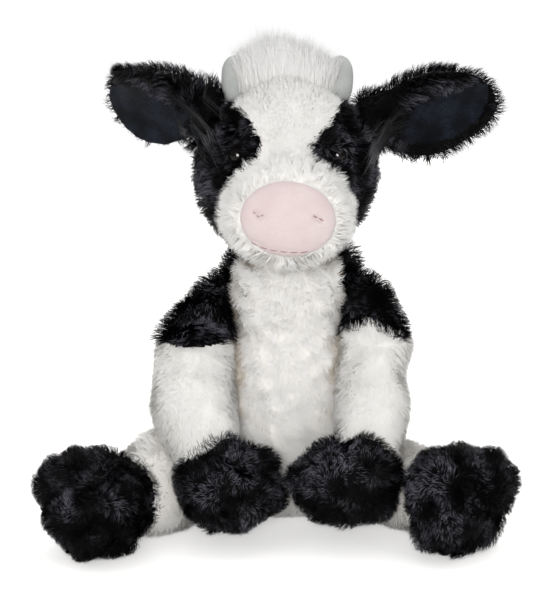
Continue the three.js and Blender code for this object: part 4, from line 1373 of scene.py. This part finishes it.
forelock = {  # metres where nothing else is said
    "count": 19000,
    "steps": 4,
    "base": ((0.0, -0.0125, 0.2455), (0.0265, 0.0095)),  # middle of the base, half its width and depth
    "length": 0.0298,
    "fan": 5,  # degrees that the outermost hair leans at its root
    "fall": 20,  # degrees more that it has fallen at its tip
    "depthFan": 0.8,  # how far the hair fans out to the front and back, as a share of sideways
    "sweep": -7,  # degrees that it is brushed to the cow's left; less than 0 is to its right
    "dome": 0.004,  # how much lower the base is at its rim
    "rim": (0.2, 0.3),  # shares by which the hair is shorter there, on the cow's right and left
    "powers": (2.6, 1.4, 1.5),  # how late it shortens and leans towards the rim, and falls to the tip
    "lengths": (5, 2.2, 1.12),  # spread of the lengths: a beta curve's two values, and its scale
    "locks": 0.010,  # size of the locks that part and lie together
    "lockLength": 0.08,  # shares by which a lock is longer or shorter
    "lockLean": 0.10,  # and leans to a side at its tip
    "bend": 6,  # degrees that hairs and locks bend in or out
    "loose": (0.25, 0.055, 0.03),  # how much single hairs stray: round about, sideways, in depth
    "width": 0.0002,
    "tone": 0.82,
    "toneVary": (0.08, 0.04),  # from hair to hair and from lock to lock
    "softness": 0.92,
    "facing": (0, -0.2, 0.4),  # the way that the hairs' flat sides look
    "turned": (0.8, 0.1),  # how much they turn outwards at the rim, and stray
    # millimetres across, and the share of the length there
    "crown": [
        (-26, 1.0), (-18, 1.05), (-13, 1.14), (-10, 1.08), (-6, 0.96), (-1, 0.93), (4, 0.91),
        (12, 0.91), (20, 0.89), (26, 0.86),
    ],
}


def growForelock():
    source = np.random.default_rng(seeds["forelock"])
    count, steps = forelock["count"], forelock["steps"]
    around, sideways, inDepth = forelock["loose"]
    rimPower, leanPower, fallPower = forelock["powers"]
    turned, strayed = forelock["turned"]
    middle, (halfWidth, halfDepth) = forelock["base"]
    out = np.sqrt(source.random(count))
    turn = source.uniform(0, 2 * math.pi, count)
    east, north = np.cos(turn), np.sin(turn)
    root = np.stack([east * out * halfWidth, north * out * halfDepth, -forelock["dome"] * out**2], 1)
    root = root + np.array(middle)
    stray = source.normal(0, around, (count, 3)) * np.array([1, 1, 0])
    flat = unit(np.stack([east, north * forelock["depthFan"], np.zeros(count)], 1) + stray)
    locks = ripple(root, forelock["locks"], seeds["forelockLocks"], 2)
    shorter = np.where(east < 0, *forelock["rim"]) * out**rimPower
    short, long, scale = forelock["lengths"]
    length = forelock["length"] * (1 - shorter) * source.beta(short, long, count) * scale
    length = length * (1 + forelock["lockLength"] * locks[:, 0])
    across, longest = zip(*forelock["crown"])
    length = length * np.interp(root[:, 0] * 1000, across, longest)
    up = np.array([0, 0, 1.0])
    line = [root]
    most = forelock["bend"]
    bend = source.normal(0, most, count) + locks[:, 1] * most + east * out * forelock["sweep"]
    for k in range(steps):
        share = (k + 0.5) / steps
        fallen = forelock["fan"] + forelock["fall"] * share**fallPower
        lean = np.radians(out**leanPower * fallen + bend * share)
        ahead = up * np.cos(lean)[:, None] + flat * np.sin(lean)[:, None]
        ahead[:, 0] += locks[:, 0] * forelock["lockLean"] * share + source.normal(0, sideways, count)
        ahead[:, 1] += source.normal(0, inDepth, count)
        line.append(line[-1] + unit(ahead) * (length / steps)[:, None])
    line = np.stack(line, 1)
    normal = flat * turned * out[:, None] + np.array(forelock["facing"])
    normal = normal + source.normal(0, strayed, (count, 3))
    ownTone, lockTone = forelock["toneVary"]
    tone = forelock["tone"] + source.normal(0, ownTone, count) + locks[:, 0] * lockTone
    return ribbons(line, unit(normal), forelock["width"], source, tone, forelock["softness"])


# long grey hairs from each ear's root: start, bend, end and spread in millimetres, number of wisps
# and of hairs in a wisp
earLocks = {
    "Right": [
        ((-70.6, -6, 237.9), (-54.3, -24, 235.8), (-39.7, -42, 218.6), 2, 2, 5),
        ((-57.1, -10, 231.7), (-45.9, -30, 226.7), (-37.5, -44, 205.9), 7, 5, 5),
        ((-45.1, -18, 248.7), (-45.7, -34, 241.4), (-40.7, -42, 228.4), 3, 2, 4),
        ((-64.0, -8, 223.7), (-56.6, -12, 220.3), (-49.3, -16, 214.8), 12, 7, 5),
        ((-54.9, -14, 220.1), (-45.5, -30, 216.9), (-37.0, -44, 200.4), 7, 3, 5),
    ],
    "Left": [
        ((64.5, -20, 226.4), (56.6, -34, 222.4), (42.2, -44, 204.8), 6, 6, 6),
        ((57.2, -22, 228.4), (49.4, -36, 224.3), (41.1, -44, 215.7), 6, 4, 5),
        ((66.9, -18, 220.1), (59.0, -32, 216.6), (45.1, -42, 200.1), 6, 5, 6),
        ((62.0, -18, 215.1), (53.6, -32, 210.6), (46.3, -40, 194.3), 6, 3, 5),
    ],
}


lockForm = {  # metres where nothing else is said
    "steps": 4,
    "depth": 0.4,  # share of the spread that goes to the front and back
    "hairs": (0.0013, 0.0013, 0.0012),  # how far the hairs of a wisp part at start, bend and end
    "above": (0.001, 0.003, 0.007),  # height over the cloth: least at the root, least beyond it, most
    "scatter": 2200,  # a wisp strays by its spread in millimetres over this
    "wispShort": (-0.1, 0.45),  # shares by which the wisps end sooner, least and most
    "hairShort": (0, 0.6),  # and the hairs in a wisp
    "wispTone": (0.1, 0.6),  # darkest and lightest
    "hairTone": (-0.4, 0.5),  # what the hairs in a wisp differ by
    "width": 0.0002,
    "softness": 0.4,
    "facing": (0.0, -1.0, 0.25),  # the way that the hairs' flat sides look
}


def growLocks(locks, ear):
    source = np.random.default_rng(seeds["earLocks"])
    beneath = [searchTree(skins[body]["points"], skins[body]["quads"]) for body in ("head", ear)]
    lines, tones = [], []
    at = np.linspace(0, 1, lockForm["steps"] + 1)[None, :, None]
    apart, (atRoot, least, most) = lockForm["hairs"], lockForm["above"]
    flatter = np.array([1, lockForm["depth"], 1])
    for *places, spread, wisps, count in locks:
        for _ in range(wisps):
            first, middle, last = (
                np.array(place) / 1000 + source.normal(0, spread / lockForm["scatter"], 3) * flatter
                for place in places
            )
            last = last + (middle - last) * source.uniform(*lockForm["wispShort"])
            first = first + source.normal(0, apart[0], (count, 3))
            middle = middle + source.normal(0, apart[1], (count, 3))
            loose = source.normal(0, apart[2], (count, 3))
            shorter = source.uniform(*lockForm["hairShort"], (count, 1))
            last = last + loose + (middle - last) * shorter
            first, middle, last = first[:, None], middle[:, None], last[:, None]
            lines.append(first * (1 - at) ** 2 + middle * 2 * at * (1 - at) + last * at**2)
            wispTone = source.uniform(*lockForm["wispTone"])
            tones.append(wispTone + source.uniform(*lockForm["hairTone"], count))
    line = np.concatenate(lines)
    for strand in line:  # the hairs are lifted off the cloth, or brought down to it
        for k, point in enumerate(strand):
            near = min((tree.find_nearest(point) for tree in beneath), key=lambda found: found[3])
            out = (Vector(point) - near[0]).dot(near[1])
            height = min(max(out, least if k else atRoot), most)
            strand[k] = np.array(Vector(point) + near[1] * (height - out))
    normal = np.tile(unit(np.array(lockForm["facing"])), (len(line), 1))
    return ribbons(line, normal, lockForm["width"], source, np.concatenate(tones), lockForm["softness"])


def hairMesh(name, hair, look):  # loose hairs with no backing
    none = {"points": np.zeros((0, 3)), "normals": np.zeros((0, 3))}
    return panelMesh(name, none, np.zeros((0, 4), int), hair, look, 1)


for side, locks in earLocks.items():
    lock = hairMesh("earLocks" + side, growLocks(locks, "ear_" + side.lower()), looks["greyHair"])
    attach(lock, "head")

hairBaseForm = {"voxel": 0.0016, "inset": 0.0085, "rounds": 10}  # the cloth under the forelock
hairBaseFit = {"scale": (0.9, 1, 1), "move": (0, 0.0035, -0.0005)}
hairBase = stuffedForm(["forelock"], **hairBaseForm)
hairBase["points"] = hairBase["points"] * np.array(hairBaseFit["scale"]) + np.array(hairBaseFit["move"])
hairs, seed = growForelock(), seeds["forelock"]
hair = panelMesh("forelockHair", hairBase, hairBase["quads"], hairs, looks["whiteHair"], seed)
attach(hair, "head")
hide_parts("forelock")
print("ear locks and forelock made")
